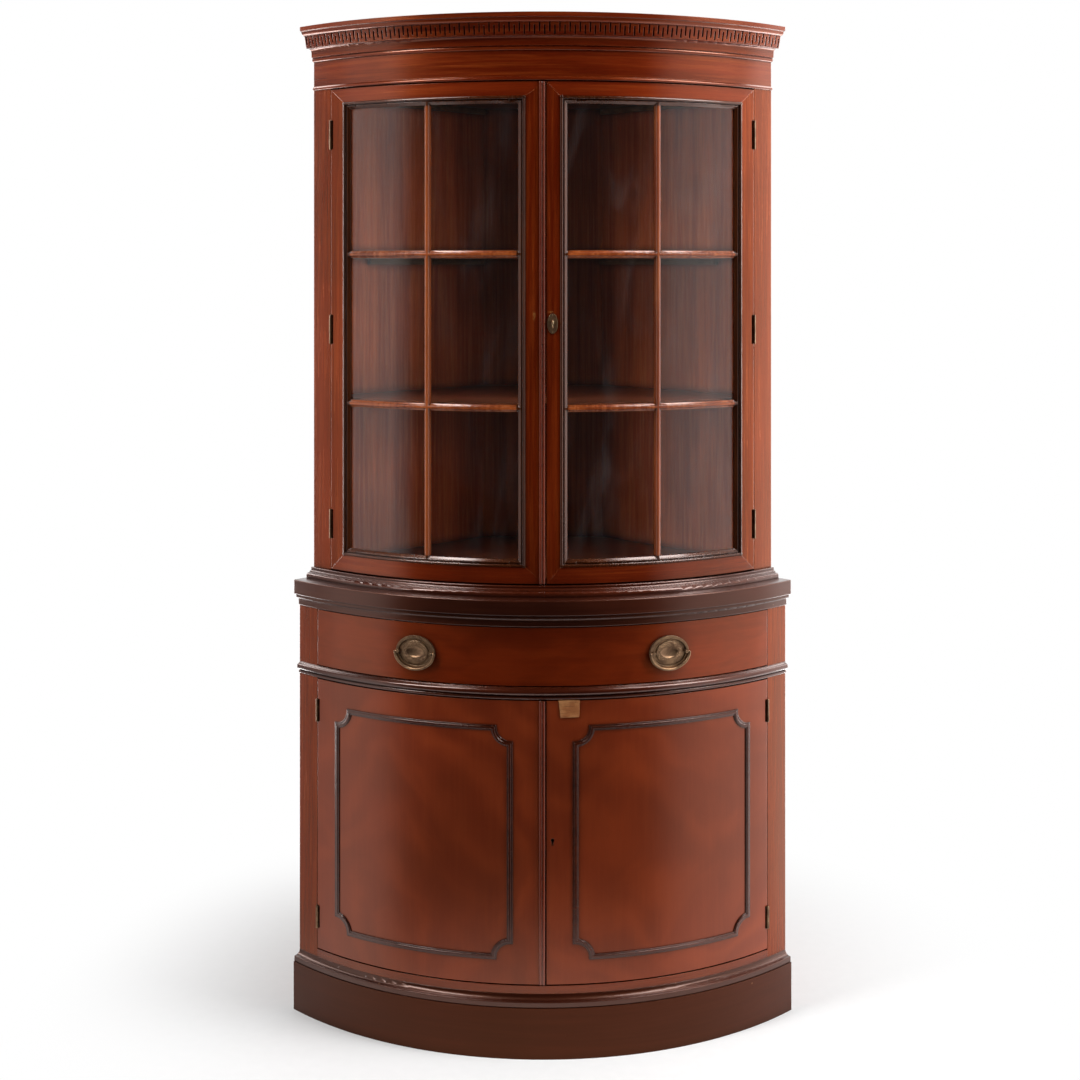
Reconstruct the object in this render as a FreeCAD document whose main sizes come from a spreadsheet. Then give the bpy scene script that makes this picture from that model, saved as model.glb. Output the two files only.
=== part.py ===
import FreeCAD, Part
import math
import os
import re
import Sketcher
from FreeCAD import Placement, Rotation, Vector

# Bow-fronted corner display cabinet, in millimetres.
# Both walls of the room's corner meet on a vertical line, the corner line, and every bowed part of the
# front is an arc about it.  The row's origin is on the floor, midway between the front of the plinth and
# the back of the centre panel; +Z is up and the front faces -Y.  Inside a body, +X points from the corner
# line to the front, +Y to the right and an angle of 0 is straight ahead.

sizes = {
    # plan
    "bodyRadius": 685,          # corner line to the face of the lower doors and drawer
    "plinthStep": 15,           # plinth in front of the lower doors
    "counterOverhang": 14,
    "upperSetback": 35,         # glazed doors behind the lower ones
    "backSetback": 135,         # corner line to the back of the centre panel
    "backThick": 10,
    "frontThick": 22,           # doors, stiles and drawer front
    "stopGap": 0.8,             # closed door to the board it stops against
    # levels, from the floor up
    "plinthHeight": 95,
    "capHeight": 21,
    "bottomRailHeight": 15,
    "lowerDoorHeight": 531,
    "doorGap": 2.5,             # above and below a door
    "waistHeight": 23.5,
    "drawerFaceHeight": 109,
    "drawerGap": 1.6,
    "counterMouldingHeight": 22.8,
    "counterThick": 29,
    "upperBaseHeight": 19.5,
    "upperDoorHeight": 952,
    "friezeHeight": 56.5,
    "corniceHeight": 68,
    "backShort": 12,            # upper back panels end below the cornice's top
    # plinth, mouldings and cornice
    "noseRadius": 2.5,
    "waistProjection": 7,
    "counterMouldingProjection": 9,
    "upperBaseProjection": 19,
    "friezeBeadHeight": 7,
    "friezeBeadProjection": 4,
    "corniceProjection": 35,
    "fretBottom": 28,           # above the bottom of the cornice
    "fretHeight": 22,
    "fretThick": 8,
    "fretProjection": 23.5,
    "fretLean": 4.2,            # how far the fret's top leans out
    "fretCount": 55,
    "fretSlotWidth": 3.2,
    "fretSlotDepth": 5,
    "fretWeb": 4.5,             # wood left at the closed end of a slot
    # boards
    "bottomBoardThick": 18,
    "dustBoardThick": 18,
    "upperFloorThick": 15,
    "ceilingThick": 18,
    "stopOverlap": 5.5,         # how far a board covers a door's edge
    "shelfThick": 16,
    "shelfSetback": 10,         # shelf front behind a door's inner face
    "lowerShelfTop": 390,
    "lowerShelfSetback": 18,
    "cleatSize": 12,
    "cleatInset": 5,            # from the centre panel, along the wall
    "cleatLength": 320,
    # stiles and doors
    "lowerStileWidth": 55,
    "upperStileWidth": 52.5,
    "hingeGap": 1.2,            # door edge to stile
    "beadWidth": 11.5,          # beaded strip on the left leaf
    "beadProjection": 3.2,
    "meetingGap": 2.4,
    "hingeStileWidth": 34,
    "meetingStileWidth": 26,
    "topRailWidth": 27,
    "bottomRailWidth": 31,
    # glazing
    "stickingWidth": 14,
    "stickingProjection": 2.4,
    "stickingDepth": 16,
    "glassSeat": 9.5,           # door face to the front of the glass
    "glassLap": 5,
    "glassThick": 2.4,
    "glassPlay": 0.3,
    "barWidth": 13.5,
    "barWeb": 4,
    # applied moulding of the lower doors
    "fieldMargin": 49,
    "fieldTopMargin": 46,
    "fieldBottomMargin": 45,
    "fieldWidth": 10.5,
    "fieldProjection": 3,
    "fieldBeadWidth": 4.5,
    "cornerIndent": 30,
    "cornerShoulder": 4,
    # butt hinges
    "upperHingeCount": 3,
    "lowerHingeCount": 2,
    "upperHingeLength": 57,
    "lowerHingeLength": 44,
    "upperHingeInset": 89.5,    # door's end to the middle of its hinge
    "lowerHingeInset": 62,
    "barrelRadius": 2.6,
    "pinRadius": 1.2,
    "pinPlay": 0.05,
    "pivotOut": 1.2,            # pin's axis outside the face
    "leafWidth": 20,
    "leafThick": 1.6,
    "leafPlay": 0.05,
    "doorNotchWidth": 6.2,
    "stileNotchWidth": 3,
    "notchDepth": 4.2,
    # drawer
    "drawerBoxWidth": 600,
    "drawerBackPlay": 10.858,   # between the box's back corners and the back panels
    "drawerSideThick": 12,
    "drawerSideHeight": 92,
    "drawerBottomThick": 5,
    "drawerBottomRise": 6,
    "runnerHeight": 13.5,
    "runnerWidth": 27,
    "guideHeight": 14,
    "guideWidth": 12,
    "guidePlay": 1,
    # oval pulls
    "pullAngle": 20.5,
    "pullWidth": 80,
    "pullHeight": 62,
    "pullPlate": 2.5,
    "pullRim": 5,
    "pullRimHeight": 4.5,
    "bossWidth": 53,
    "bossHeight": 42,
    "bossRise": 3,
    "domeWidth": 36,
    "domeHeight": 21,
    "domeRise": 3.6,
    "postPlace": 33.5,
    "postRadius": 3,
    "bailOut": 8,               # bail's plane in front of the drawer's face
    "bailHalfWidth": 40.3,
    "bailDrop": 31.8,
    "bailEndRadius": 27,
    "bailRadius": 2.6,
    "bailPinRadius": 1.4,
    "bailPinReach": 8,
    # locks and key
    "upperLockHeight": 493,     # above the upper door's bottom
    "lowerLockHeight": 270,     # above the lower door's bottom
    "lockWidth": 30,
    "lockHeight": 50,
    "lockThick": 10,
    "lockInset": 1.2,           # from the leaf's meeting edge
    "keyInset": 11.5,           # from the leaf's meeting edge
    "keyRadius": 2.4,
    "keyPlay": 0.05,
    "keyholeRadius": 3,
    "keyBitReach": 6,
    "keyBitThick": 2,
    "keyShankOut": 17,
    "keyBowRadius": 8,
    "keyBowHole": 5,
    "keyBowThick": 2.4,
    "boltRise": 12,             # bolt above the keyhole
    "boltHeight": 6,
    "boltThick": 5,
    "boltLength": 22,
    "boltPlay": 0.3,
    "escutcheonWidth": 20,
    "escutcheonHeight": 38,
    "escutcheonThick": 1.4,
    # slide bolts inside the left leaves
    "slidePlace": 18,           # rod's axis from the leaf's meeting edge
    "slidePlateWidth": 16,
    "slidePlateHeight": 56,
    "slidePlateThick": 2,
    "slidePlateRise": 11,
    "slideRodRadius": 3,
    "slideRodPlay": 0.05,
    "slideRodIn": 7,            # rod's axis behind the door's inner face
    "slideRodLength": 56,
    "slideRodLift": 2,
    "slideHolePlay": 0.5,
    "slideTravel": 12,
    "slideGuideHeight": 8,
    "slideGuideWidth": 11,
    "slideKnobRadius": 2.5,
    "slideKnobLength": 7,
    # leather pull tab
    "tabStart": 24,             # from the leaf's meeting edge
    "tabWidth": 38,
    "tabDrop": 32,
    "tabThick": 1.6,
    "tabOverTop": 18,
    "tabPlay": 0.05,
}

doc = FreeCAD.newDocument("CornerCabinet")
sheet = doc.addObject("Spreadsheet::Sheet", "Sizes")
for row, (alias, number) in enumerate(sizes.items(), start=1):
    sheet.set(f"A{row}", alias)
    sheet.set(f"B{row}", str(number))
    sheet.setAlias(f"B{row}", alias)
doc.recompute()

nodes = []


# ---------------------------------------------------------------- expressions

radii = {
    "plinthRadius": "(bodyRadius + plinthStep)",
    "counterRadius": "(bodyRadius + counterOverhang)",
    "upperRadius": "(bodyRadius - upperSetback)",
}


def formula(text):
    """Write the sheet's name in front of each size named in the text."""
    text = re.sub(r"[A-Za-z]\w*", lambda word: radii.get(word[0], word[0]), text)
    return re.sub(r"[A-Za-z]\w*", lambda word: "Sizes." + word[0] if word[0] in sizes else word[0], text)


def value(text):
    """The number that a formula gives."""
    return float(sheet.evalExpression(formula(text)))


def bind(thing, prop, text):
    thing.setExpression(prop, formula(text))


def degrees(width, radius):
    """The angle of an arc of that width."""
    return f"(({width}) / ({radius}) * 180 / pi)"


# levels above the floor
boardLevel = "(plinthHeight + capHeight)"
lowerRailTop = f"({boardLevel} + bottomRailHeight)"
lowerDoorBottom = f"({lowerRailTop} + doorGap)"
lowerDoorTop = f"({lowerDoorBottom} + lowerDoorHeight)"
waistBottom = f"({lowerDoorTop} + doorGap)"
waistTop = f"({waistBottom} + waistHeight)"
drawerBottom = f"({waistTop} + drawerGap)"
counterMouldingBottom = f"({drawerBottom} + drawerFaceHeight + drawerGap)"
counterBottom = f"({counterMouldingBottom} + counterMouldingHeight)"
counterTop = f"({counterBottom} + counterThick)"
upperBaseTop = f"({counterTop} + upperBaseHeight)"
upperDoorBottom = f"({upperBaseTop} + doorGap)"
upperDoorTop = f"({upperDoorBottom} + upperDoorHeight)"
friezeBottom = f"({upperDoorTop} + doorGap)"
corniceBottom = f"({friezeBottom} + friezeHeight)"
corniceTop = f"({corniceBottom} + corniceHeight)"

# boards that the doors stop against
bottomBoardTop = f"({lowerDoorBottom} + stopOverlap)"
dustBoardBottom = f"({lowerDoorTop} - stopOverlap)"
dustBoardTop = f"({dustBoardBottom} + dustBoardThick)"
upperFloorTop = f"({upperDoorBottom} + stopOverlap)"
ceilingBottom = f"({upperDoorTop} - stopOverlap)"

# radii of the inner faces
lowerInner = "(bodyRadius - frontThick)"
upperInner = "(upperRadius - frontThick)"
lowerStop = f"({lowerInner} - stopGap)"
upperStop = f"({upperInner} - stopGap)"

# the drawer box's back, forward of the corner line
drawerBoxBack = "(drawerBoxWidth / 2 + backThick * sqrt(2) + drawerBackPlay)"

# glass opening of an upper door
openingBottom = f"({upperDoorBottom} + bottomRailWidth + stickingWidth)"
openingTop = f"({upperDoorTop} - topRailWidth - stickingWidth)"
paneHeight = f"(({openingTop} - {openingBottom} - 2 * barWidth) / 3)"
panePitch = f"({paneHeight} + barWidth)"
firstBar = f"({openingBottom} + {paneHeight} + barWidth / 2)"


class Leaf:
    """The angles of one pair of stages' doors on one side; side is -1 for left and 1 for right."""

    def __init__(self, name, side, radius, stile, bottom, height):
        self.name = name
        self.side = side
        self.radius = radius
        self.inner = f"({radius} - frontThick)"
        self.bottom = bottom
        self.height = height
        self.stileEdge = f"(45 - {degrees(stile, radius)})"
        self.outer = f"({self.stileEdge} - {degrees('hingeGap', radius)})"
        self.pivot = f"({self.stileEdge} - {degrees('hingeGap / 2', radius)})"
        self.pivotRadius = f"({radius} + pivotOut)"
        # the left leaf carries the bead and reaches past the middle by half of it
        self.sight = degrees("beadWidth / 2" if side < 0 else "beadWidth / 2 + meetingGap", radius)
        self.meet = f"(0 - {self.sight})" if side < 0 else self.sight
        self.middle = f"(({self.outer} + {self.meet}) / 2)"
        self.span = f"({self.outer} - {self.meet})"

    def angle(self, text):
        """An angle measured to this leaf's own side, as an angle to the right."""
        return f"({self.side} * ({text}))"


upperLeft = Leaf("upper_left", -1, "upperRadius", "upperStileWidth", upperDoorBottom, "upperDoorHeight")
upperRight = Leaf("upper_right", 1, "upperRadius", "upperStileWidth", upperDoorBottom, "upperDoorHeight")
lowerLeft = Leaf("lower_left", -1, "bodyRadius", "lowerStileWidth", lowerDoorBottom, "lowerDoorHeight")
lowerRight = Leaf("lower_right", 1, "bodyRadius", "lowerStileWidth", lowerDoorBottom, "lowerDoorHeight")


# ---------------------------------------------------------------- building blocks

def place(thing, angle="0", radius="0", level="0", across="0"):
    """Stand a thing at an angle and radius about the corner line, its X pointing outwards."""
    thing.Placement = Placement(Vector(), Rotation(Vector(0, 0, 1), -90))
    bind(thing, ".Placement.Base.x", f"({radius}) * sin({angle}) + ({across}) * cos({angle})")
    bind(thing, ".Placement.Base.y",
         f"(plinthRadius + backSetback) / 2 - ({radius}) * cos({angle}) + ({across}) * sin({angle})")
    bind(thing, ".Placement.Base.z", level)
    bind(thing, ".Placement.Rotation.Angle", f"{angle} - 90")


def new_body(label, angle="0", radius="0", level="0"):
    body = doc.addObject("PartDesign::Body", label)
    body.Label = label
    body.AllowCompound = True
    place(body, angle, radius, level)
    return body


def keep(thing, label):
    """Name a finished sub-part, which becomes a node."""
    thing.Label = label
    nodes.append(thing)
    return thing


def new_sketch(body, role, level="0", turn="0"):
    """A sketch on one of the body's own planes, raised to a level and turned about its Z axis."""
    sketch = body.newObject("Sketcher::SketchObject", body.Name + "_sketch")
    plane = next(item for item in body.Origin.OriginFeatures if item.Role == role)
    sketch.AttachmentSupport = [(plane, "")]
    sketch.MapMode = "FlatFace"
    upright = Vector(0, 0, 1) if role == "XY_Plane" else Vector(0, 1, 0)
    sketch.AttachmentOffset = Placement(Vector(), Rotation(upright, 1))
    bind(sketch, ".AttachmentOffset.Rotation.Angle", turn)
    bind(sketch, ".AttachmentOffset.Base.z" if role == "XY_Plane" else ".AttachmentOffset.Base.y", level)
    return sketch


def draw(sketch, points, closed=True):
    """Draw lines and arcs through points.

    A point is (x, y), or (x, y, bend) where an arc leaves it.  The bend is a pair (radius, direction),
    or a number: the arc's rise over half its chord.  A positive one turns left.
    """
    count = len(points)
    spots = [Vector(value(point[0]), value(point[1]), 0) for point in points]
    first = sketch.GeometryCount
    ends = []
    edges = []
    radii = []
    for index in range(count if closed else count - 1):
        start = spots[index]
        finish = spots[(index + 1) % count]
        if len(points[index]) == 2:
            edges.append(Part.LineSegment(start, finish))
            ends.append((1, 2))
            continue
        bend = points[index][2]
        if isinstance(bend, tuple):
            radiusText, turn = bend
        else:
            following = points[(index + 1) % count]
            chordText = (f"sqrt((({following[0]}) - ({points[index][0]})) ^ 2"
                         f" + (({following[1]}) - ({points[index][1]})) ^ 2)")
            radiusText = f"{chordText} * {(1 + bend * bend) / (4 * abs(bend))}"
            turn = 1 if bend > 0 else -1
        radius = value(radiusText)
        chord = finish - start
        reach = math.sqrt(max(radius * radius - chord.Length ** 2 / 4, 0))
        centre = (start + finish) / 2 + Vector(-chord.y, chord.x, 0) / chord.Length * reach * turn
        begin, end = (start, finish) if turn > 0 else (finish, start)
        circle = Part.Circle(centre, Vector(0, 0, 1), radius)
        edges.append(Part.ArcOfCircle(circle, math.atan2(begin.y - centre.y, begin.x - centre.x),
                                      math.atan2(end.y - centre.y, end.x - centre.x)))
        ends.append((1, 2) if turn > 0 else (2, 1))
        radii.append((index, radiusText))
    sketch.addGeometry(edges, False)
    rules = []
    bound = []
    for index in range(len(edges) if closed else len(edges) - 1):
        following = (index + 1) % len(edges)
        rules.append(Sketcher.Constraint("Coincident", first + index, ends[index][1],
                                         first + following, ends[following][0]))
    for index in range(count):
        edge, end = (index, ends[index][0]) if index < len(edges) else (index - 1, ends[index - 1][1])
        for axis, number, text in (("X", spots[index].x, points[index][0]),
                                   ("Y", spots[index].y, points[index][1])):
            bound.append((sketch.ConstraintCount + len(rules), text))
            rules.append(Sketcher.Constraint("Distance" + axis, first + edge, end, number))
    for index, text in radii:
        bound.append((sketch.ConstraintCount + len(rules), text))
        rules.append(Sketcher.Constraint("Radius", first + index, value(text)))
    sketch.addConstraint(rules)
    for index, text in bound:
        bind(sketch, f"Constraints[{index}]", text)


def box_points(x0, x1, y0, y1):
    return [(x0, y0), (x1, y0), (x1, y1), (x0, y1)]


def revolve(body, points, span, turn="0", kind="PartDesign::Revolution"):
    """Turn a section (radius, level) about the corner line, half of the span to each side."""
    sketch = new_sketch(body, "XZ_Plane", "0", turn)
    draw(sketch, points)
    feature = body.newObject(kind, body.Name + "_turned")
    feature.Profile = sketch
    feature.ReferenceAxis = (sketch, ["V_Axis"])
    feature.Midplane = True
    bind(feature, "Angle", span)
    return feature


def pad(body, outlines, height, level="0", turn="0"):
    """Raise one or more plan outlines from a level."""
    sketch = new_sketch(body, "XY_Plane", level, turn)
    for points in outlines:
        draw(sketch, points)
    feature = body.newObject("PartDesign::Pad", body.Name + "_pad")
    feature.Profile = sketch
    bind(feature, "Length", height)
    return feature


def ring(label, points, span="90", angle="0"):
    body = new_body(label, angle)
    revolve(body, points, span)
    return body


def block(angle, radius, level, size, side=1, across="0"):
    """A box whose nearest edge stands at that place, reaching outwards and to one side."""
    box = doc.addObject("Part::Box", "block")
    reach, width, height = size
    bind(box, "Length", reach)
    bind(box, "Width", width)
    bind(box, "Height", height)
    place(box, angle, radius, level, across if side > 0 else f"({across}) - ({width})")
    return box


def rod(angle, radius, level, size, along="up", across="0"):
    """A round bar, standing up, pointing outwards or lying across."""
    bar = doc.addObject("Part::Cylinder", "rod")
    bind(bar, "Radius", size[0])
    bind(bar, "Height", size[1])
    if along == "up":
        place(bar, angle, radius, level, across)
        return bar
    stand = doc.addObject("Part::Compound", "rod_placed")
    stand.Links = [bar]
    turned = {"out": Rotation(Vector(0, 1, 0), 90), "across": Rotation(Vector(1, 0, 0), -90)}
    bar.Placement = Placement(Vector(), turned[along])
    place(stand, angle, radius, level, across)
    return stand


def join(parts):
    fused = doc.addObject("Part::MultiFuse", "joined")
    fused.Shapes = parts
    return fused


def group(parts):
    together = doc.addObject("Part::Compound", "group")
    together.Links = parts
    return together


def cut(base, tools):
    result = doc.addObject("Part::Cut", "cut")
    result.Base = base
    result.Tool = group(tools) if len(tools) > 1 else tools[0]
    return result


def common(base, tool):
    result = doc.addObject("Part::Common", "common")
    result.Base = base
    result.Tool = tool
    return result


# ---------------------------------------------------------------- carcass

def sector_board(label, radius, inset, back, level, thick, holes=()):
    """A flat board between the walls, its front edge an arc."""
    front = f"(({inset}) * sqrt(2) + sqrt(2 * ({radius}) ^ 2 - 2 * ({inset}) ^ 2)) / 2"
    side = f"({front} - ({inset}) * sqrt(2))"
    rear = f"(({back}) - ({inset}) * sqrt(2))"
    body = new_body(label + "_board")
    pad(body, [[(back, f"-{rear}"), (front, f"-{side}", (radius, 1)), (front, side), (back, rear)]],
        thick, level)
    return keep(cut(body, list(holes)) if holes else body, label)


def back_panels(label, inner, level, height):
    """Two wall panels and the narrow panel across the corner."""
    rear = "(backSetback + backThick)"
    reach = f"sqrt(({inner}) ^ 2 - backThick ^ 2)"
    panels = []
    for side in (-1, 1):
        body = new_body(f"{label}_{'left' if side < 0 else 'right'}")
        outline = [(rear, f"{side} * {rear}"),
                   (rear, f"{side} * ({rear} - backThick * sqrt(2))"),
                   (f"({reach} + backThick) / sqrt(2)", f"{side} * ({reach} - backThick) / sqrt(2)"),
                   (f"{reach} / sqrt(2)", f"{side} * {reach} / sqrt(2)")]
        pad(body, [outline], height, level)
        panels.append(body)
    centre = new_body(label + "_centre")
    pad(centre, [[("backSetback", "-backSetback"), (rear, f"-{rear}"), (rear, rear),
                  ("backSetback", "backSetback")]], height, level)
    keep(group(panels + [centre]), label)


def plinth():
    face = "plinthRadius"
    keep(ring("plinth_front_ring", box_points(lowerStop, face, "0", "plinthHeight")), "plinth_front")
    step = "(plinthRadius - bodyRadius)"
    low = "plinthHeight"
    keep(ring("plinth_cap_ring", [
        (lowerStop, low),
        (f"{face} - {step} * 0.15", low),
        (f"{face} - {step} * 0.12", f"{low} + capHeight * 0.06"),
        (f"{face} - {step} * 0.12", f"{low} + capHeight * 0.46", 0.4),
        (f"{face} - {step} * 0.22", f"{low} + capHeight * 0.52", -0.4),
        ("bodyRadius", f"{low} + capHeight"),
        (lowerStop, f"{low} + capHeight")]), "plinth_cap")


def front_rails():
    """The rail under the lower doors and the rail under the drawer."""
    span = f"2 * {lowerRight.stileEdge}"
    low = ring("bottom_rail", box_points(lowerStop, "bodyRadius", boardLevel, lowerRailTop), span)
    waist = ring("waist_rail", box_points(lowerStop, "bodyRadius", waistBottom, waistTop), span)
    keep(group([low, waist]), "front_rails")


def stiles(label, leaf, stop, low, high, width, hinges):
    """The two fixed stiles of a stage, notched for the hinges."""
    pair = []
    for side in (-1, 1):
        middle = f"({side} * (45 - {degrees(width, leaf.radius)} / 2))"
        blank = ring(f"{label}_{'left' if side < 0 else 'right'}",
                     box_points(stop, leaf.radius, low, high), degrees(width, leaf.radius), middle)
        pair.append(cut(blank, hinge_notches(side, leaf, hinges, 1, "stileNotchWidth")))
    keep(group(pair), label)


def waist_moulding():
    """A rounded nose over a flat bead, parted by a groove."""
    low = waistBottom
    face = "bodyRadius"
    out = "waistProjection"
    keep(ring("waist_moulding_ring", [
        (face, low),
        (f"{face} + {out} * 0.1", low, 0.6),
        (f"{face} + {out} * 0.1", f"{low} + waistHeight * 0.26"),
        (f"{face} + {out} * 0.05", f"{low} + waistHeight * 0.31"),
        (f"{face} + {out} * 0.32", f"{low} + waistHeight * 0.34", 0.8),
        (f"{face} + {out} * 0.32", f"{low} + waistHeight * 0.84"),
        (f"{face} + {out} * 0.1", f"{low} + waistHeight * 0.9"),
        (face, f"{low} + waistHeight")]), "waist_moulding")


def counter_moulding():
    """A round-edged band, then a cove and fillet that carry the countertop's overhang."""
    low = counterMouldingBottom
    tall = "counterMouldingHeight"
    out = "counterMouldingProjection"
    face = "bodyRadius"
    keep(ring("counter_moulding_ring", [
        (lowerStop, low),
        (f"{face} + {out} * 0.12", low, 0.4),
        (f"{face} + {out} * 0.33", f"{low} + {tall} * 0.13"),
        (f"{face} + {out} * 0.31", f"{low} + {tall} * 0.52", -0.35),
        (f"{face} + {out} * 0.85", f"{low} + {tall} * 0.72"),
        (f"{face} + {out}", f"{low} + {tall} * 0.72"),
        (f"{face} + {out}", counterBottom),
        (lowerStop, counterBottom)]), "counter_moulding")


def countertop():
    """A thick board with a rounded nose."""
    body = new_body("countertop_board")
    corner = "counterRadius / sqrt(2)"
    raised = pad(body, [[("backSetback", "-backSetback"), (corner, f"-{corner}", ("counterRadius", 1)),
                         (corner, corner), ("backSetback", "backSetback")]], "counterThick", counterBottom)
    doc.recompute()
    nose = [f"Edge{index}" for index, edge in enumerate(raised.Shape.Edges, start=1)
            if isinstance(edge.Curve, Part.Circle)]
    rounded = body.newObject("PartDesign::Fillet", "countertop_nose")
    rounded.Base = (raised, nose)
    bind(rounded, "Radius", "noseRadius")
    keep(body, "countertop")


def upper_base():
    """A bead, a cove and a rounded foot round the base of the upper stage."""
    low = counterTop
    tall = "upperBaseHeight"
    out = "upperBaseProjection"
    face = "upperRadius"
    keep(ring("upper_base_ring", [
        (upperStop, low),
        (f"{face} + {out}", low),
        (f"{face} + {out}", f"{low} + {tall} * 0.2", 0.4),
        (f"{face} + {out} * 0.6", f"{low} + {tall} * 0.5"),
        (f"{face} + {out} * 0.57", f"{low} + {tall} * 0.62", -0.4),
        (f"{face} + {out} * 0.36", f"{low} + {tall} * 0.82", 0.8),
        (f"{face} + {out} * 0.2", upperBaseTop),
        (upperStop, upperBaseTop)]), "upper_base_moulding")


def frieze():
    low = friezeBottom
    face = "upperRadius"
    bead = "friezeBeadProjection"
    tall = "friezeBeadHeight"
    keep(ring("frieze_ring", [
        (upperStop, low),
        (f"{face} + {bead} * 0.3", low, 0.6),
        (f"{face} + {bead} * 0.5", f"{low} + {tall} * 0.75"),
        (f"{face} + {bead} * 0.2", f"{low} + {tall}"),
        (face, f"{low} + {tall}"),
        (face, corniceBottom),
        (upperStop, corniceBottom)]), "frieze")


def cornice():
    """A bead, fascia and cove, a leaning rebate for the fret, then a small cyma under the top fascia."""
    low = corniceBottom
    tall = "corniceHeight"
    out = "corniceProjection"
    face = "upperRadius"
    seat = "(upperRadius + fretProjection - fretThick)"
    fretLow = f"({low} + fretBottom)"
    fretHigh = f"({fretLow} + fretHeight)"
    keep(ring("cornice_ring", [
        (upperStop, low),
        (face, low),
        (f"{face} + {out} * 0.03", low, 0.6),
        (f"{face} + {out} * 0.09", f"{low} + fretBottom * 0.28"),
        (f"{face} + {out} * 0.17", f"{low} + fretBottom * 0.32"),
        (f"{face} + {out} * 0.19", f"{low} + fretBottom * 0.74", -0.35),
        (f"{face} + {out} * 0.44", f"{low} + fretBottom * 0.93"),
        (f"{face} + {out} * 0.53", f"{low} + fretBottom * 0.93"),
        (f"{face} + {out} * 0.53", fretLow),
        (f"{seat} - fretLean", fretLow),
        (seat, fretHigh),
        (f"{face} + {out} * 0.7", fretHigh, 0.3),
        (f"{face} + {out} * 0.9", f"{low} + {tall} * 0.86"),
        (f"{face} + {out}", f"{low} + {tall} * 0.88"),
        (f"{face} + {out}", corniceTop),
        (upperStop, corniceTop)]), "cornice")


def fret_band():
    """A leaning strip with slots that open upwards and downwards in turn."""
    low = f"({corniceBottom} + fretBottom)"
    high = f"({low} + fretHeight)"
    face = "(upperRadius + fretProjection)"
    pitch = "(90 / fretCount)"
    body = new_body("fret_band_strip")

    def leaning(near, far, bottom, top):
        shift = [f"fretLean * ({high} - ({level})) / fretHeight" for level in (bottom, top)]
        return [(f"{near} - {shift[0]}", bottom), (f"{far} - {shift[0]}", bottom),
                (f"{far} - {shift[1]}", top), (f"{near} - {shift[1]}", top)]

    strip = revolve(body, leaning(f"{face} - fretThick", face, low, high), "90")
    doc.recompute()
    solid = strip.Shape.Volume
    for shift, bottom, top in ((0.25, f"{low} + fretWeb", f"{high} + fretWeb"),
                               (0.75, f"{low} - fretWeb", f"{high} - fretWeb")):
        slot = revolve(body, leaning(f"{face} - fretSlotDepth", f"{face} + fretSlotDepth", bottom, top),
                       degrees("fretSlotWidth", face), f"({pitch} * {shift} - 45)", "PartDesign::Groove")
        row = body.newObject("PartDesign::PolarPattern", "fret_slots")
        row.Originals = [slot]
        row.Axis = (slot.Profile[0], ["V_Axis"])
        bind(row, "Angle", f"90 - {pitch}")
        bind(row, "Occurrences", "fretCount")
        body.Tip = row
        doc.recompute()
        print("fret slots took", round(solid - row.Shape.Volume), "mm3")
    keep(body, "fret_band")


def cleats():
    """Strips along both walls, under every board."""
    strips = []
    start = "(backSetback + backThick) * sqrt(2) - backThick + cleatInset"
    for board, height in ((bottomBoardTop, "bottomBoardThick"), ("lowerShelfTop", "shelfThick"),
                          (dustBoardTop, "dustBoardThick"), (upperFloorTop, "upperFloorThick"),
                          (f"({firstBar} + shelfThick / 2)", "shelfThick"),
                          (f"({firstBar} + {panePitch} + shelfThick / 2)", "shelfThick"),
                          (f"({ceilingBottom} + ceilingThick)", "ceilingThick")):
        for side in (-1, 1):
            strips.append(block(f"({side} * 45)", start, f"{board} - {height} - cleatSize",
                                ("cleatLength", "cleatSize", "cleatSize"), -side, f"{-side} * backThick"))
    keep(group(strips), "cleats")


def boards():
    wall = "backThick"
    rear = "(backSetback + backThick)"
    sector_board("bottom_board", lowerStop, wall, rear, f"{bottomBoardTop} - bottomBoardThick",
                 "bottomBoardThick", [slide_hole(lowerLeft, bottomBoardTop)])
    sector_board("lower_shelf", f"({lowerInner} - lowerShelfSetback)", wall, rear,
                 "lowerShelfTop - shelfThick", "shelfThick")
    sector_board("dust_board", lowerStop, wall, rear, dustBoardBottom, "dustBoardThick")
    sector_board("upper_floor", upperStop, wall, rear, f"{upperFloorTop} - upperFloorThick",
                 "upperFloorThick", [slide_hole(upperLeft, upperFloorTop)])
    sector_board("ceiling", upperStop, wall, rear, ceilingBottom, "ceilingThick")
    shelves = []
    for index in range(2):
        level = f"({firstBar} + {index} * {panePitch} - shelfThick / 2)"
        sector_board(f"upper_shelf_{index}", f"({upperInner} - shelfSetback)", wall, rear, level, "shelfThick")
        shelves.append(nodes.pop())
    keep(group(shelves), "upper_shelves")


# ---------------------------------------------------------------- hinges

hingeSets = {
    "upper": ("upperHingeLength", "upperHingeInset", "upperHingeCount"),
    "lower": ("lowerHingeLength", "lowerHingeInset", "lowerHingeCount"),
}


def hinge_levels(leaf, hinges):
    """The level of each hinge's bottom end."""
    length, inset, count = hinges
    first = f"({leaf.bottom} + {inset} - {length} / 2)"
    pitch = f"(({leaf.height} - 2 * {inset}) / ({count} - 1))"
    return [f"({first} + {index} * {pitch})" for index in range(int(value(count)))], pitch


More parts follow.
